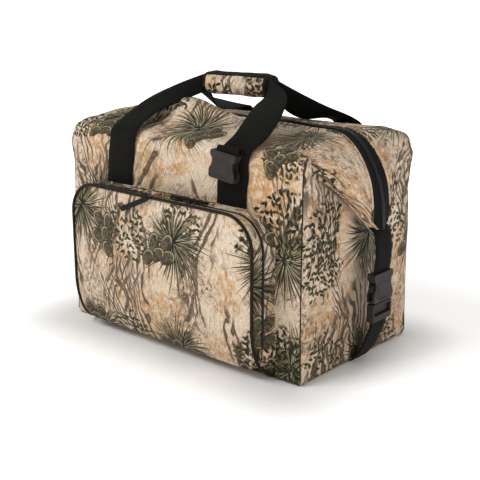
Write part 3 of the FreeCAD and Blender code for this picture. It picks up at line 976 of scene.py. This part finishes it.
for side, label in ((-1, "left"), (1, "right")):
    def ear_spot(y, t):
        return ear_place(side, y, t), (side * (LID_HALF + t * EAR_LENGTH), TOP_V + y)

    ear = grid(label + "_ear_skin", EAR_Y, EAR_T, ear_spot, CAMO, None, side > 0)
    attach(ear, "shell")
    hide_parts(label + "_ear")

    def tape_spot(u, t):
        y = u * ear_tape_half(t)
        edge = 0.4 if abs(u) > 0.99 else 1.0
        lift = (1.1 + 0.35 * math.cos(u * 3.0)) * MM * edge
        return ear_place(side, y, t) + ear_out(side, y, t) * lift, (y, t * EAR_LENGTH)

    tape_t = spaced(0.0, EAR_TAPE_END, 1 / 90)
    tape = grid(label + "_ear_tape", np.linspace(-1, 1, 17), tape_t, tape_spot, TAPE,
                None, side > 0)
    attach(tape, "shell")
    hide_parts(label + "_ear_zip")
    count = int(EAR_LENGTH * EAR_TAPE_END / COIL_PITCH)
    coil_t = [EAR_TAPE_END * i / count for i in range(count + 1)]
    for half, end in ((-1, "front"), (1, "rear")):
        route = ear_line(side, lambda t: half * COIL_SIDE, COIL_RISE, coil_t)
        coil = tube("{}_ear_coil_{}".format(label, end), route, COIL_RADIUS, COIL, 8, COIL_THIN)
        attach(coil, "shell")
    for half, end in ((-1, "front"), (1, "rear")):
        route = ear_line(side, lambda t: half * (ear_tape_half(t) + 1.0 * MM), 0.7 * MM,
                         spaced(0.0, EAR_TAPE_END, 1 / 60))
        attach(tube("{}_ear_welt_{}".format(label, end), route, 1.6 * MM, CAMO, 8), "shell")


# ---- Lids ------------------------------------------------------------------
def swell_top(x, y):
    """How much the fabric's unevenness lifts the top beside the zip."""
    return soft_point(x, y, EDGE).z - EDGE - dome(y)


LID_RUN = [(HALF_WIDTH, z) for z in spaced(FOLD_Z, EDGE, 3 * MM)]
LID_RUN += [(y, EDGE) for y in lines(HALF_WIDTH, EAR_SIDE, TAPE_HALF + 1 * MM)][1:]
PAD_STEPS = 60
LIP = 2.2 * MM
COVER = 5.5 * MM
SKIN_GAP = 1.2 * MM

for side, label in ((-1, "front"), (1, "rear")):
    def lid_spot(x, k):
        y, z = LID_RUN[int(k)]
        point = soft_point(x, side * y, z)
        point.z += LIP * math.exp(-((y - TAPE_HALF - 1.5 * MM) / (2.4 * MM)) ** 2)
        cover = COVER * (1 - ramp(abs(x), 105 * MM, LID_HALF - 3 * MM))
        point.y -= side * cover * (1 - ramp(y, TAPE_HALF, 38 * MM))
        if z < EDGE:
            return point, (x * -side + REAR_PRINT * (side > 0), z)
        return point, (x, TOP_V + side * y)

    lid = grid(label + "_lid_skin", [x for x in X_LINES if abs(x) <= LID_HALF + 1e-6],
               range(len(LID_RUN)), lid_spot, CAMO, None, side > 0)
    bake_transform(lid)
    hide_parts(label + "_lid_cover")

    def pad_ring(y):
        """One cross-section of the padding under the lid, from end to end and back."""
        roof = EDGE + dome(y) - 1.6 * MM
        slim = ramp(min(y - TAPE_HALF, HALF_WIDTH - 10 * MM - y), -1 * MM, 12 * MM)
        thick = lerp(3 * MM, 11.5 * MM, slim)
        ring = []
        end = LID_HALF - 2 * MM
        for i in range(PAD_STEPS + 1):
            x = lerp(-end, end, i / PAD_STEPS)
            dip = min(swell_top(x + dx * MM, side * (y + dy * MM))
                      for dx in (-3, 0, 3) for dy in (0, 3, 6))
            ring.append(Vector((x, side * y, roof + min(dip, 0.0) - SKIN_GAP)))
        for i in range(PAD_STEPS + 1):
            x = lerp(end, -end, i / PAD_STEPS)
            puff = abs(math.sin(x / LID_HALF * math.pi * 1.5)) ** 0.5 * 1.5 * MM
            round_end = ramp(LID_HALF - abs(x), 0.0, 12 * MM)
            floor = roof - thick * lerp(0.4, 1.0, round_end) - puff * slim
            ring.append(Vector((x, side * y, min(floor, ring[PAD_STEPS - i].z - SKIN_GAP))))
        return ring

    pad_rings = [pad_ring(y) for y in spaced(HALF_WIDTH - 13 * MM, TAPE_HALF + 1 * MM)]
    pad = loft(label + "_lid_padding", pad_rings, LINER)
    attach(pad, label + "_lid")
    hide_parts(label + "_lid_foam", label + "_lid_lining")

    def lid_tape(x, y):
        z = EDGE + dome(y) + swell_top(x, y) + (0.8 + 0.4 * math.cos(y / TAPE_HALF * 3.0)) * MM
        return Vector((x, side * y, z)), (y, x)

    tape = grid(label + "_lid_tape", spaced(-LID_HALF, LID_HALF, 6 * MM),
                np.linspace(0.35 * MM, TAPE_HALF + 1.5 * MM, 8), lid_tape, TAPE, None, side < 0)
    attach(tape, label + "_lid")
    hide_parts(label + "_lid_zip")
    coil_route = []
    for x in spaced(-LID_HALF, LID_HALF, COIL_PITCH):
        z = EDGE + dome(COIL_SIDE) + swell_top(x, COIL_SIDE) + COIL_RISE
        coil_route.append(Vector((x, side * 1.75 * MM, z)))
    coil = tube(label + "_lid_coil", coil_route, COIL_RADIUS, COIL, 8, COIL_THIN)
    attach(coil, label + "_lid")


# ---- Straps and handles ----------------------------------------------------
FRONT_RIGHT = (
    (108.5, -130.8, 283), (115, -129.8, 299), (124, -115, 314),
    (118, -80, 336), (98, -43, 351), (64, -8, 361),
)
FRONT_LEFT = (
    (-100, -130.8, 283), (-96.5, -129.8, 299), (-96, -116, 311),
    (-88, -80, 332), (-72, -42, 347), (-50, -8, 361),
)
REAR_LEFT = (
    (-104, -130.8, 283), (-106, -129.6, 299), (-98, -114, 310),
    (-79, -84, 318), (-70, -44, 336), (-64, -8, 359),
)
REAR_RIGHT = (
    (102, -130.8, 283), (101, -130.0, 302), (100, -114, 313),
    (98, -80, 317), (86, -38, 328), (60, -8, 359),
)
LEG_WIDTHS = {
    FRONT_RIGHT: ((25.4, 0, 0), (25.4, 0, 0), (25, 2.5, 0), (24, 6, 2), (18.5, 9, 8.5), (0, 0, 13)),
    FRONT_LEFT: ((25.4, 0, 0), (25.4, 0, 0), (25, 2.5, 0), (21, 8, 5), (12, 9, 10.5), (0, 0, 13)),
    REAR_LEFT: ((25.4, 0, 0), (25.4, 0, 0), (24.5, 2, 3), (22.5, 2, 11), (15, 5, 15), (0, 0, 13)),
    REAR_RIGHT: ((25.4, 0, 0), (25.4, 0, 0), (25, 2, 2), (22, 3, 8), (16, 5, 14), (0, 0, 13)),
}
GRIP_LEFT = -50 * MM
GRIP_RIGHT = 64 * MM


def leg_section(keys, share):
    """Centre, half width and half thickness at a share of the way up a leg."""
    sign = 1 if keys[0][0] > 0 else -1
    places = [Vector(k) * MM for k in keys]
    centre = catmull(places, share)
    wide = catmull([Vector(k) * MM for k in LEG_WIDTHS[keys]], share)
    wide.x *= sign
    way = catmull(places, min(share + 0.01, 1.0)) - catmull(places, max(share - 0.01, 0.0))
    return centre, wide, way.cross(wide).normalized() * (1.1 * MM * sign)


def face_ring(x, z, sign):
    """A section of strap lying on the front wall, following the fabric."""
    ring = []
    for a, b in WEBBING_SECTION:
        across = x + a * WEBBING_HALF * sign
        wall = soft_point(across, -HALF_WIDTH, min(z, FOLD_Z)).y
        wall = lerp(wall, -HALF_WIDTH - 1.2 * MM, ramp(z, FOLD_Z - 26 * MM, FOLD_Z))
        ring.append(Vector((across, wall - (1.6 * MM - b * 1.1 * MM), z)))
    return ring


def handle(name, side, foot, right, left, grip_z):
    """One webbing loop: up the wall, through the grip, and down again."""
    legs = []
    for keys, low_x in ((right, STRAP_X), (left, -STRAP_X - 3 * MM)):
        sign = 1 if keys[0][0] > 0 else -1
        rings = []
        for z in spaced(foot, FOLD_Z - 4 * MM, 5 * MM):
            x = lerp(low_x, keys[0][0] * MM, ramp(z, POCKET_HIGH, FOLD_Z + 10 * MM))
            rings.append(face_ring(x, z, sign))
        rings += [section_ring(*leg_section(keys, t)) for t in spaced(0.04, 0.985, 0.02)]
        legs.append(rings)
    grip_part = []
    for x in spaced(right[-1][0] * MM - 3 * MM, left[-1][0] * MM + 3 * MM, 6 * MM):
        grip_part.append(section_ring(Vector((x, -8 * MM, grip_z)), Vector((0, 0, 13.0 * MM)),
                                      Vector((0, 1.4 * MM, 0))))
    rings = legs[0] + grip_part + legs[1][::-1]
    if side > 0:
        rings = [[Vector((-p.x, -p.y, p.z)) for p in ring] for ring in rings]
    return webbing(name, rings, WEBBING_HALF)


def grip_profile(turn, x):
    """A point round the grip's D: turn runs from -90 at the bottom to 90 at the top."""
    a = math.radians(turn)
    lump = noise.noise(Vector((x * 34.0, turn * 0.02, 4.0))) * 0.08
    lump += noise.noise(Vector((x * 90.0, turn * 0.03, 8.0))) * 0.03
    end = ramp(min(x - GRIP_LEFT, GRIP_RIGHT - x), -2 * MM, 12 * MM)
    size = (0.86 + 0.14 * end) * (1 + lump)
    deep = (GRIP_DEEP - 0.6 * MM) * max(math.cos(a), 0.0) ** 0.75 * size
    lean = 1.2 * MM * (x / GRIP_HALF)
    return deep + 0.5 * MM, GRIP_Z + 16 * MM * math.sin(a) * size + lean


def grip_ring(side, x, turns, size=1.0):
    """A closed D round the webbing at one place along the grip."""
    ring = []
    for turn in turns:
        deep, z = grip_profile(turn, x)
        ring.append(Vector((x, side * deep * size, GRIP_Z + (z - GRIP_Z) * size)))
    top = ring[-1].z
    bottom = ring[0].z
    for k in range(1, 6):
        ring.append(Vector((x, side * 0.45 * MM, lerp(top, bottom, k / 6))))
    return ring


TURNS = list(np.linspace(-90, 90, 29))


def grip(name, side):
    rings = [grip_ring(side, x, TURNS) for x in spaced(GRIP_LEFT, GRIP_RIGHT, 2.5 * MM)]
    obj = loft(name, rings, CAMO)
    layer = obj.data.uv_layers[UV]
    for loop in obj.data.loops:
        u, v = layer.data[loop.index].uv
        shift = GRIP_PRINT[0] + REAR_GRIP_PRINT * (side > 0)
        layer.data[loop.index].uv = (v + shift, u + GRIP_PRINT[1])
    tidy_normals(obj)
    return obj


for side, label, body in ((-1, "front", "front_handle"), (1, "rear", "rear_handle")):
    foot = POCKET_HIGH - 25 * MM if side < 0 else 10 * MM
    legs = (FRONT_RIGHT, FRONT_LEFT) if side < 0 else (REAR_RIGHT, REAR_LEFT)
    loop_web = handle(label + "_handle_webbing", side, foot, legs[0], legs[1], legs[0][-1][2] * MM)
    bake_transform(loop_web)
    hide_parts(label + "_handle", label + "_straps")
    wrap = grip(label + "_grip_wrap", side)
    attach(wrap, body)
    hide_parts(label + "_grip")

    def binding_spot(turn, x):
        deep, z = grip_profile(turn, x)
        centre = Vector((x, 0, GRIP_Z))
        point = Vector((x, side * deep, z))
        out = (point - centre).normalized()
        return point + out * (0.3 * MM if turn < 51 else 1.1 * MM), (turn * 0.0003, x)

    top_binding = grid(label + "_grip_binding", [50, 52, 60, 68, 76, 84, 90],
                       list(spaced(GRIP_LEFT - 1 * MM, GRIP_RIGHT + 1 * MM, 3 * MM)),
                       binding_spot, BINDING, None, side > 0)
    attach(top_binding, body)
    for end, limit in ((-1, GRIP_LEFT), (1, GRIP_RIGHT)):
        profile = ((-3, 1.05), (-1, 1.09), (1.5, 1.07), (3, 0.86))
        rings = [grip_ring(side, limit + end * past * MM, TURNS, size) for past, size in profile]
        cap = loft("{}_grip_cap_{}".format(label, "left" if end < 0 else "right"), rings, BINDING)
        tidy_normals(cap)
        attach(cap, body)


# ---- End straps ------------------------------------------------------------
TAB_BEND = ((244, 196), (253, 188), (256, 172), (256.5, 155), (255.5, 141))
LOWER_BEND = ((246, 44), (236, 21), (222.5, 3))
END_HALF = high("right_zip_tab", 1)
BUCKLE_X = (low("right_buckle_plug", 0) + high("right_buckle_plug", 0)) / 2 / MM


def end_strap(name, side, bend):
    """A strap on an end wall, through (x, z) places in millimetres."""
    keys = [Vector((side * x * MM, 0, z * MM)) for x, z in bend]
    return strap(name, keys, Vector((0, 1, 0)), END_HALF, 3 * MM)


for side, label in ((-1, "left"), (1, "right")):
    tab = end_strap(label + "_tab_webbing", side, TAB_BEND + ((BUCKLE_X, 128),))
    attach(tab, "shell")
    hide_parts(label + "_zip_tab")
    lower = end_strap(label + "_lower_webbing", side,
                      ((BUCKLE_X, 82), (BUCKLE_X - 2, 60)) + LOWER_BEND)
    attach(lower, "shell")
    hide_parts(label + "_lower_strap")
    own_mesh(lower)


# ---- Buckles ---------------------------------------------------------------
def both_ways(half):
    """A whole outline from its right half, read from the middle bottom to the middle top."""
    return list(half) + [(-x, z) for x, z in half[::-1]]


SOCKET_OUTLINE = both_ways((
    (20.0, 0), (22.3, 2), (22.6, 10), (21.0, 14.5), (18.6, 19), (17.8, 24), (18.6, 28.5),
    (21.4, 31.5), (22.4, 34), (22.0, 38.5), (20.5, 40),
))
SOCKET_PANEL = both_ways(((11.5, 5.5), (13.5, 7.5), (13.0, 17), (12.2, 25), (10.5, 27)))
LOOP_BEND = ((131.4, 281), (132.4, 292), (136, 301), (140.5, 302), (142.5, 297), (140.5, 291.5))


def socket_mesh(name, move):
    """The buckle's female half, mouth down at the origin and facing -Y."""
    parts = []
    plate(parts, SOCKET_OUTLINE, -6.0, -4.0)
    plate(parts, SOCKET_OUTLINE, 4.0, 6.0)
    plate(parts, SOCKET_PANEL, -6.4, -6.0)
    for rise, half in ((3.0, 8.0), (6.4, 6.5)):
        block(parts, -half, half, -6.7, -6.2, rise, rise + 1.3)
    for sign in (-1, 1):
        block(parts, sign * 13.0 - 1.4, sign * 13.0 + 1.4, -4.2, 4.2, 3.0, 28.0)
        block(parts, sign * 20.3 - 1.6, sign * 20.3 + 1.6, -4.2, 4.2, 31.0, 39.5)
        block(parts, sign * 20.6 - 1.4, sign * 20.6 + 1.4, -4.2, 4.2, 0.4, 3.0)
    block(parts, -19.0, 19.0, -4.2, 4.2, 27.5, 31.5)
    block(parts, -21.0, 21.0, -5.0, 5.0, 36.6, 39.8)
    return moulded(name, parts, BUCKLE, move, 0.7 * MM)


def plug_mesh(name, move):
    """The buckle's male half below the mouth, with two bars for the strap."""
    parts = []
    for sign in (-1, 1):
        block(parts, sign * 20.6 - 1.8, sign * 20.6 + 1.8, -5.2, 5.2, -26.5, -2.0)
    block(parts, -21.0, 21.0, -5.4, 5.4, -5.2, -1.4)
    block(parts, -19.5, 19.5, -1.5, 1.5, -18.0, -5.0)
    block(parts, -20.6, 20.6, -5.6, 5.0, -26.6, -18.0)
    block(parts, -7.0, 7.0, -2.2, 2.2, -2.0, 20.0)
    return moulded(name, parts, BUCKLE, move, 0.6 * MM)


for side, label in ((-1, "left"), (1, "right")):
    bottom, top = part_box(label + "_buckle_socket")
    middle = (bottom + top) / 2
    place = Matrix.Translation((middle.x, middle.y, bottom.z - 3.5 * MM))
    place = place @ Matrix.Rotation(math.radians(90 * side), 4, "Z")
    socket = socket_mesh(label + "_socket_shell", place)
    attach(socket, "shell")
    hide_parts(label + "_buckle_socket")
    plug = plug_mesh(label + "_plug_frame", place)
    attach(plug, label + "_buckle_plug")
    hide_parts(label + "_buckle_plug")

for side, label in ((-1, "front"), (1, "rear")):
    node = label + "_shoulder_buckle"
    bottom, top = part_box(node)
    middle = (bottom + top) / 2
    place = Matrix.Translation((
        middle.x + side * 5 * MM, middle.y + side * 1.5 * MM, bottom.z + 5 * MM))
    place = place @ Matrix.Rotation(0 if side < 0 else math.pi, 4, "Z")
    place = place @ Matrix.Rotation(math.radians(7), 4, "Y")
    place = place @ Matrix.Diagonal((0.96, 1.0, 0.92, 1.0))
    socket = socket_mesh(node + "_shell", place)
    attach(socket, node)
    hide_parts(node)
    keys = [Vector((middle.x - side * 4 * MM, side * y * MM, z * MM)) for y, z in LOOP_BEND]
    hanger = strap(label + "_shoulder_loop", keys, Vector((1, 0, 0)), 18.5 * MM, 2 * MM)
    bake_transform(hanger)


# ---- Front pocket ----------------------------------------------------------
POCKET_MIDDLE = (POCKET_LOW + POCKET_HIGH) / 2
POCKET_TALL = (POCKET_HIGH - POCKET_LOW) / 2


def pocket_loop(inset_x=0.0, inset_z=0.0):
    """The pocket's outline, drawn in by an inset."""
    return rounded_loop(POCKET_HALF - inset_x, POCKET_TALL - inset_z,
                        45 * MM, 25 * MM, POCKET_MIDDLE)


FRONT_LOOP = pocket_loop(4 * MM, -1.5 * MM)


def pocket_depth(z):
    """How far out the face's edge stands: it rounds back under the pocket."""
    t = clamp((z - POCKET_LOW) / (64 * MM), 0.0, 1.0)
    return lerp(POCKET_ZIP + 1.8 * MM, POCKET_FACE, math.sin(math.pi / 2 * t))


def pocket_wave(x, z):
    """The face's unevenness."""
    slow = noise.noise(Vector((x * 11.0, z * 11.0, 5.0)))
    quick = noise.noise(Vector((x * 30.0, z * 30.0, 1.0)))
    return slow * 2.2 * MM + quick * 0.8 * MM


def pocket_face_mesh():
    """The pocket's padded face, in rings that close in on its middle."""
    points = []
    uvs = []
    shares = [1.0, 0.985, 0.965, 0.93, 0.88] + list(np.linspace(0.82, 0.04, 16))
    for share in shares:
        for x, z in FRONT_LOOP:
            px = x * share
            pz = POCKET_MIDDLE + (z - POCKET_MIDDLE) * share
            full = 1 - share ** 5
            y = -(pocket_depth(pz) + full * (5.0 * MM + pocket_wave(px, pz)))
            points.append(Vector((px, y, pz)))
            uvs.append((px, pz))
    count = len(FRONT_LOOP)
    faces = quads(count, len(shares), wrap=True)
    faces.append(tuple(range(len(points) - count, len(points))))
    return piece("pocket_face_skin", points, faces, CAMO, uvs)


face_skin = pocket_face_mesh()
tidy_normals(face_skin)
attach(face_skin, "pocket_front")
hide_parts("pocket_face")


def gusset(name, body, near, far, stands_for, bulge):
    """Adds a band of fabric between two outlines, each a list of (x, depth, z)."""
    points = []
    uvs = []
    run = 0.0
    rows = 8
    for k, ((x0, d0, z0), (x1, d1, z1)) in enumerate(zip(near, far)):
        if k:
            run += math.dist(near[k], near[k - 1])
        for j in range(rows):
            t = j / (rows - 1)
            wave = noise.noise(Vector((run * 18.0, t * 2.0, 2.0))) * 1.4 * MM
            out = (bulge + wave) * math.sin(math.pi * t)
            size = 1 + out / POCKET_HALF
            rise = (lerp(z0, z1, t) - POCKET_MIDDLE) * size
            points.append(Vector((lerp(x0, x1, t) * size, -lerp(d0, d1, t), POCKET_MIDDLE + rise)))
            uvs.append((lerp(d0, d1, t) + GUSSET_PRINT[0], run + GUSSET_PRINT[1]))
    count = len(near)
    faces = []
    for k in range(count):
        n = (k + 1) % count
        for j in range(rows - 1):
            faces.append((k * rows + j, k * rows + j + 1, n * rows + j + 1, n * rows + j))
    obj = piece(name, points, faces, CAMO, uvs)
    tidy_normals(obj)
    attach(obj, body)
    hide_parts(stands_for)


ZIP_LOOP = pocket_loop()
WALL_LOOP = pocket_loop(-5 * MM, -2 * MM)
gusset("pocket_front_side", "pocket_front", [(x, POCKET_ZIP + 1.2 * MM, z) for x, z in ZIP_LOOP],
       [(x, pocket_depth(z), z) for x, z in FRONT_LOOP], "pocket_front_gusset", 0.8 * MM)
gusset("pocket_rear_side", "shell", [(x, POCKET_BACK - 4 * MM, z) for x, z in WALL_LOOP],
       [(x, POCKET_ZIP - 1.2 * MM, z) for x, z in ZIP_LOOP], "pocket_rear_gusset", 0.5 * MM)

upper = [(x * 1.003, -pocket_depth(z) - 0.6 * MM, z + 0.8 * MM * (z > 0.18))
         for x, z in FRONT_LOOP if z > POCKET_LOW + 24 * MM]
tail = [(178.5, -131.5, 6), (176.5, -138, 9), (173.5, -147, 17), (171, -155.5, 28)]
piping_keys = [Vector(k) * MM for k in tail]
piping_keys += [Vector(k) for k in upper]
piping_keys += [Vector((-k[0], k[1], k[2])) * MM for k in tail[::-1]]
piping = tube("pocket_piping_cord", smooth_route(piping_keys, 3 * MM), 2.3 * MM, PIPING, 10)
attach(piping, "pocket_front")
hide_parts("pocket_piping")

outline = pocket_loop(-0.3 * MM)
start = min(range(len(outline)), key=lambda k: math.dist(outline[k], (POCKET_HALF, ZIP_END)))
outline = outline[start:] + outline[:start]
stop = next(k for k, (x, z) in enumerate(outline) if x < 0 and z <= ZIP_END)
ZIPPED = outline[:1] + [p for p in outline[1:stop + 1] if p[1] > ZIP_END - 1 * MM]


def zip_band(name, body, near, far, stands_for):
    """Adds a zip tape round the pocket's top and sides, with its coil."""
    depths = (near, (near + far) / 2, far)
    points = []
    uvs = []
    run = 0.0
    for k, (x, z) in enumerate(ZIPPED):
        if k:
            run += math.dist(ZIPPED[k], ZIPPED[k - 1])
        away = Vector((x, 0, z - POCKET_MIDDLE)).normalized()
        for n, depth in enumerate(depths):
            points.append(Vector((x, -depth, z)) + away * (0.5 * MM if n == 1 else 0.15 * MM))
            uvs.append((depth, run))
    obj = piece(name + "_tape", points, quads(3, len(ZIPPED)), TAPE, uvs)
    tidy_normals(obj)
    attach(obj, body)
    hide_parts(stands_for)
    dense = []
    for a, b in zip(ZIPPED, ZIPPED[1:]):
        count = max(1, int(math.dist(a, b) / (0.7 * MM)))
        for i in range(count):
            x = lerp(a[0], b[0], i / count)
            z = lerp(a[1], b[1], i / count)
            away = Vector((x, 0, z - POCKET_MIDDLE)).normalized()
            dense.append(Vector((x, -near, z)) + away * 0.7 * MM)
    coil = tube(name + "_coil", dense, 0.95 * MM, COIL, 6, 0.78)
    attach(coil, body)


for name, body, way in (("pocket_front_zip", "pocket_front", 1), ("pocket_rear_zip", "shell", -1)):
    zip_band(name, body, POCKET_ZIP + way * 0.85 * MM, POCKET_ZIP + way * 2.0 * MM, name)

for side, label in ((-1, "left"), (1, "right")):
    stop = []
    block(stop, side * 174.3 - 1.0, side * 174.3 + 1.0, -155.5, -150.4, 38.0, 49.0)
    tab = moulded("pocket_zip_stop_" + label, stop, CAMO, Matrix.Identity(4), 0.5 * MM)
    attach(tab, "pocket_front")


# ---- CAD nodes that are shown ----------------------------------------------
CAD_LOOKS = {"liner": LINER_CAD}
for zipper in ("main", "pocket_left", "pocket_right"):
    CAD_LOOKS[zipper + "_slider"] = SLIDER
    CAD_LOOKS[zipper + "_pull"] = RUBBER
for node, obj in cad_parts.items():
    if obj.hide_render:
        continue
    look = CAD_LOOKS.get(node, BUCKLE)
    obj.data.materials.clear()
    obj.data.materials.append(look)
    if look is not LINER_CAD:
        rounded(obj, 0.45 * MM).angle_limit = SHARP


# ---- Floor, light and camera -----------------------------------------------
def area_light(name, place, aim, power, size):
    light = bpy.data.lights.new(name, "AREA")
    light.energy = power
    light.size = size
    obj = linked(name, light)
    obj.location = place
    obj.rotation_mode = "QUATERNION"
    obj.rotation_quaternion = (Vector(aim) - Vector(place)).to_track_quat("-Z", "Y")


def studio():
    """A plain pale floor that glows with painted light, three soft lights and a white surround."""
    floor = Material("studio_floor", "f4f3f1", 0.8, 0.0)
    floor.solid_plane()
    floor.shade(floor.plane.noise(3.0, 2.0) * 0.02 + 0.99)
    # Painted light: the floor glows though it is no lamp. The glow is weakest close round the bag, so a
    # dark contact shadow shows there, and strongest far off, so the floor reads white.
    floor.set("Emission Color", (1.0, 1.0, 1.0, 1.0))
    away = floor.beyond(0.21, 0.13, -0.02)
    painted_floor_light = away.smooth(0.0, 0.12) * 0.42 + away.smooth(0.2, 1.1) * 0.6
    floor.set("Emission Strength", painted_floor_light)
    bpy.ops.mesh.primitive_plane_add(size=90.0, location=(0, 0, -0.5 * MM))
    plane = bpy.context.object
    plane.name = "studio_floor"
    plane.data.materials.append(floor.finish())
    area_light("key_light", (-0.9, -1.9, 2.3), (0, 0, 0.1), 45.0, 1.5)
    area_light("side_light", (2.4, -0.5, 1.2), (0, 0, 0.15), 11.0, 1.3)
    area_light("back_light", (-0.3, 2.2, 1.9), (0, 0, 0.2), 13.0, 1.6)
    world = bpy.data.worlds.new("studio")
    bpy.context.scene.world = world
    world.use_nodes = True
    tree = world.node_tree
    background = tree.nodes["Background"]
    seen = new_node(tree, "LightPath").outputs["Is Camera Ray"]
    strength = new_node(tree, "MapRange", Value=seen, To_Min=0.40, To_Max=1.0)
    connect(tree, background.inputs["Color"], (1.0, 1.0, 1.0, 1.0))
    connect(tree, background.inputs["Strength"], strength.outputs["Result"])


studio()

CAMERA_PLACE = (0.8993, -1.0345, 0.5199)
CAMERA_AZIMUTH = 40.78
CAMERA_DOWN = 15.9
CAMERA_LENS = 71.63
camera_data = bpy.data.cameras.new("camera")
camera_data.sensor_width = 36.0
camera_data.lens = CAMERA_LENS
camera = linked("camera", camera_data)
camera.location = CAMERA_PLACE
camera.rotation_euler = (math.radians(90 - CAMERA_DOWN), 0, math.radians(CAMERA_AZIMUTH))
bpy.context.scene.camera = camera
bpy.context.scene.view_settings.view_transform = "Standard"
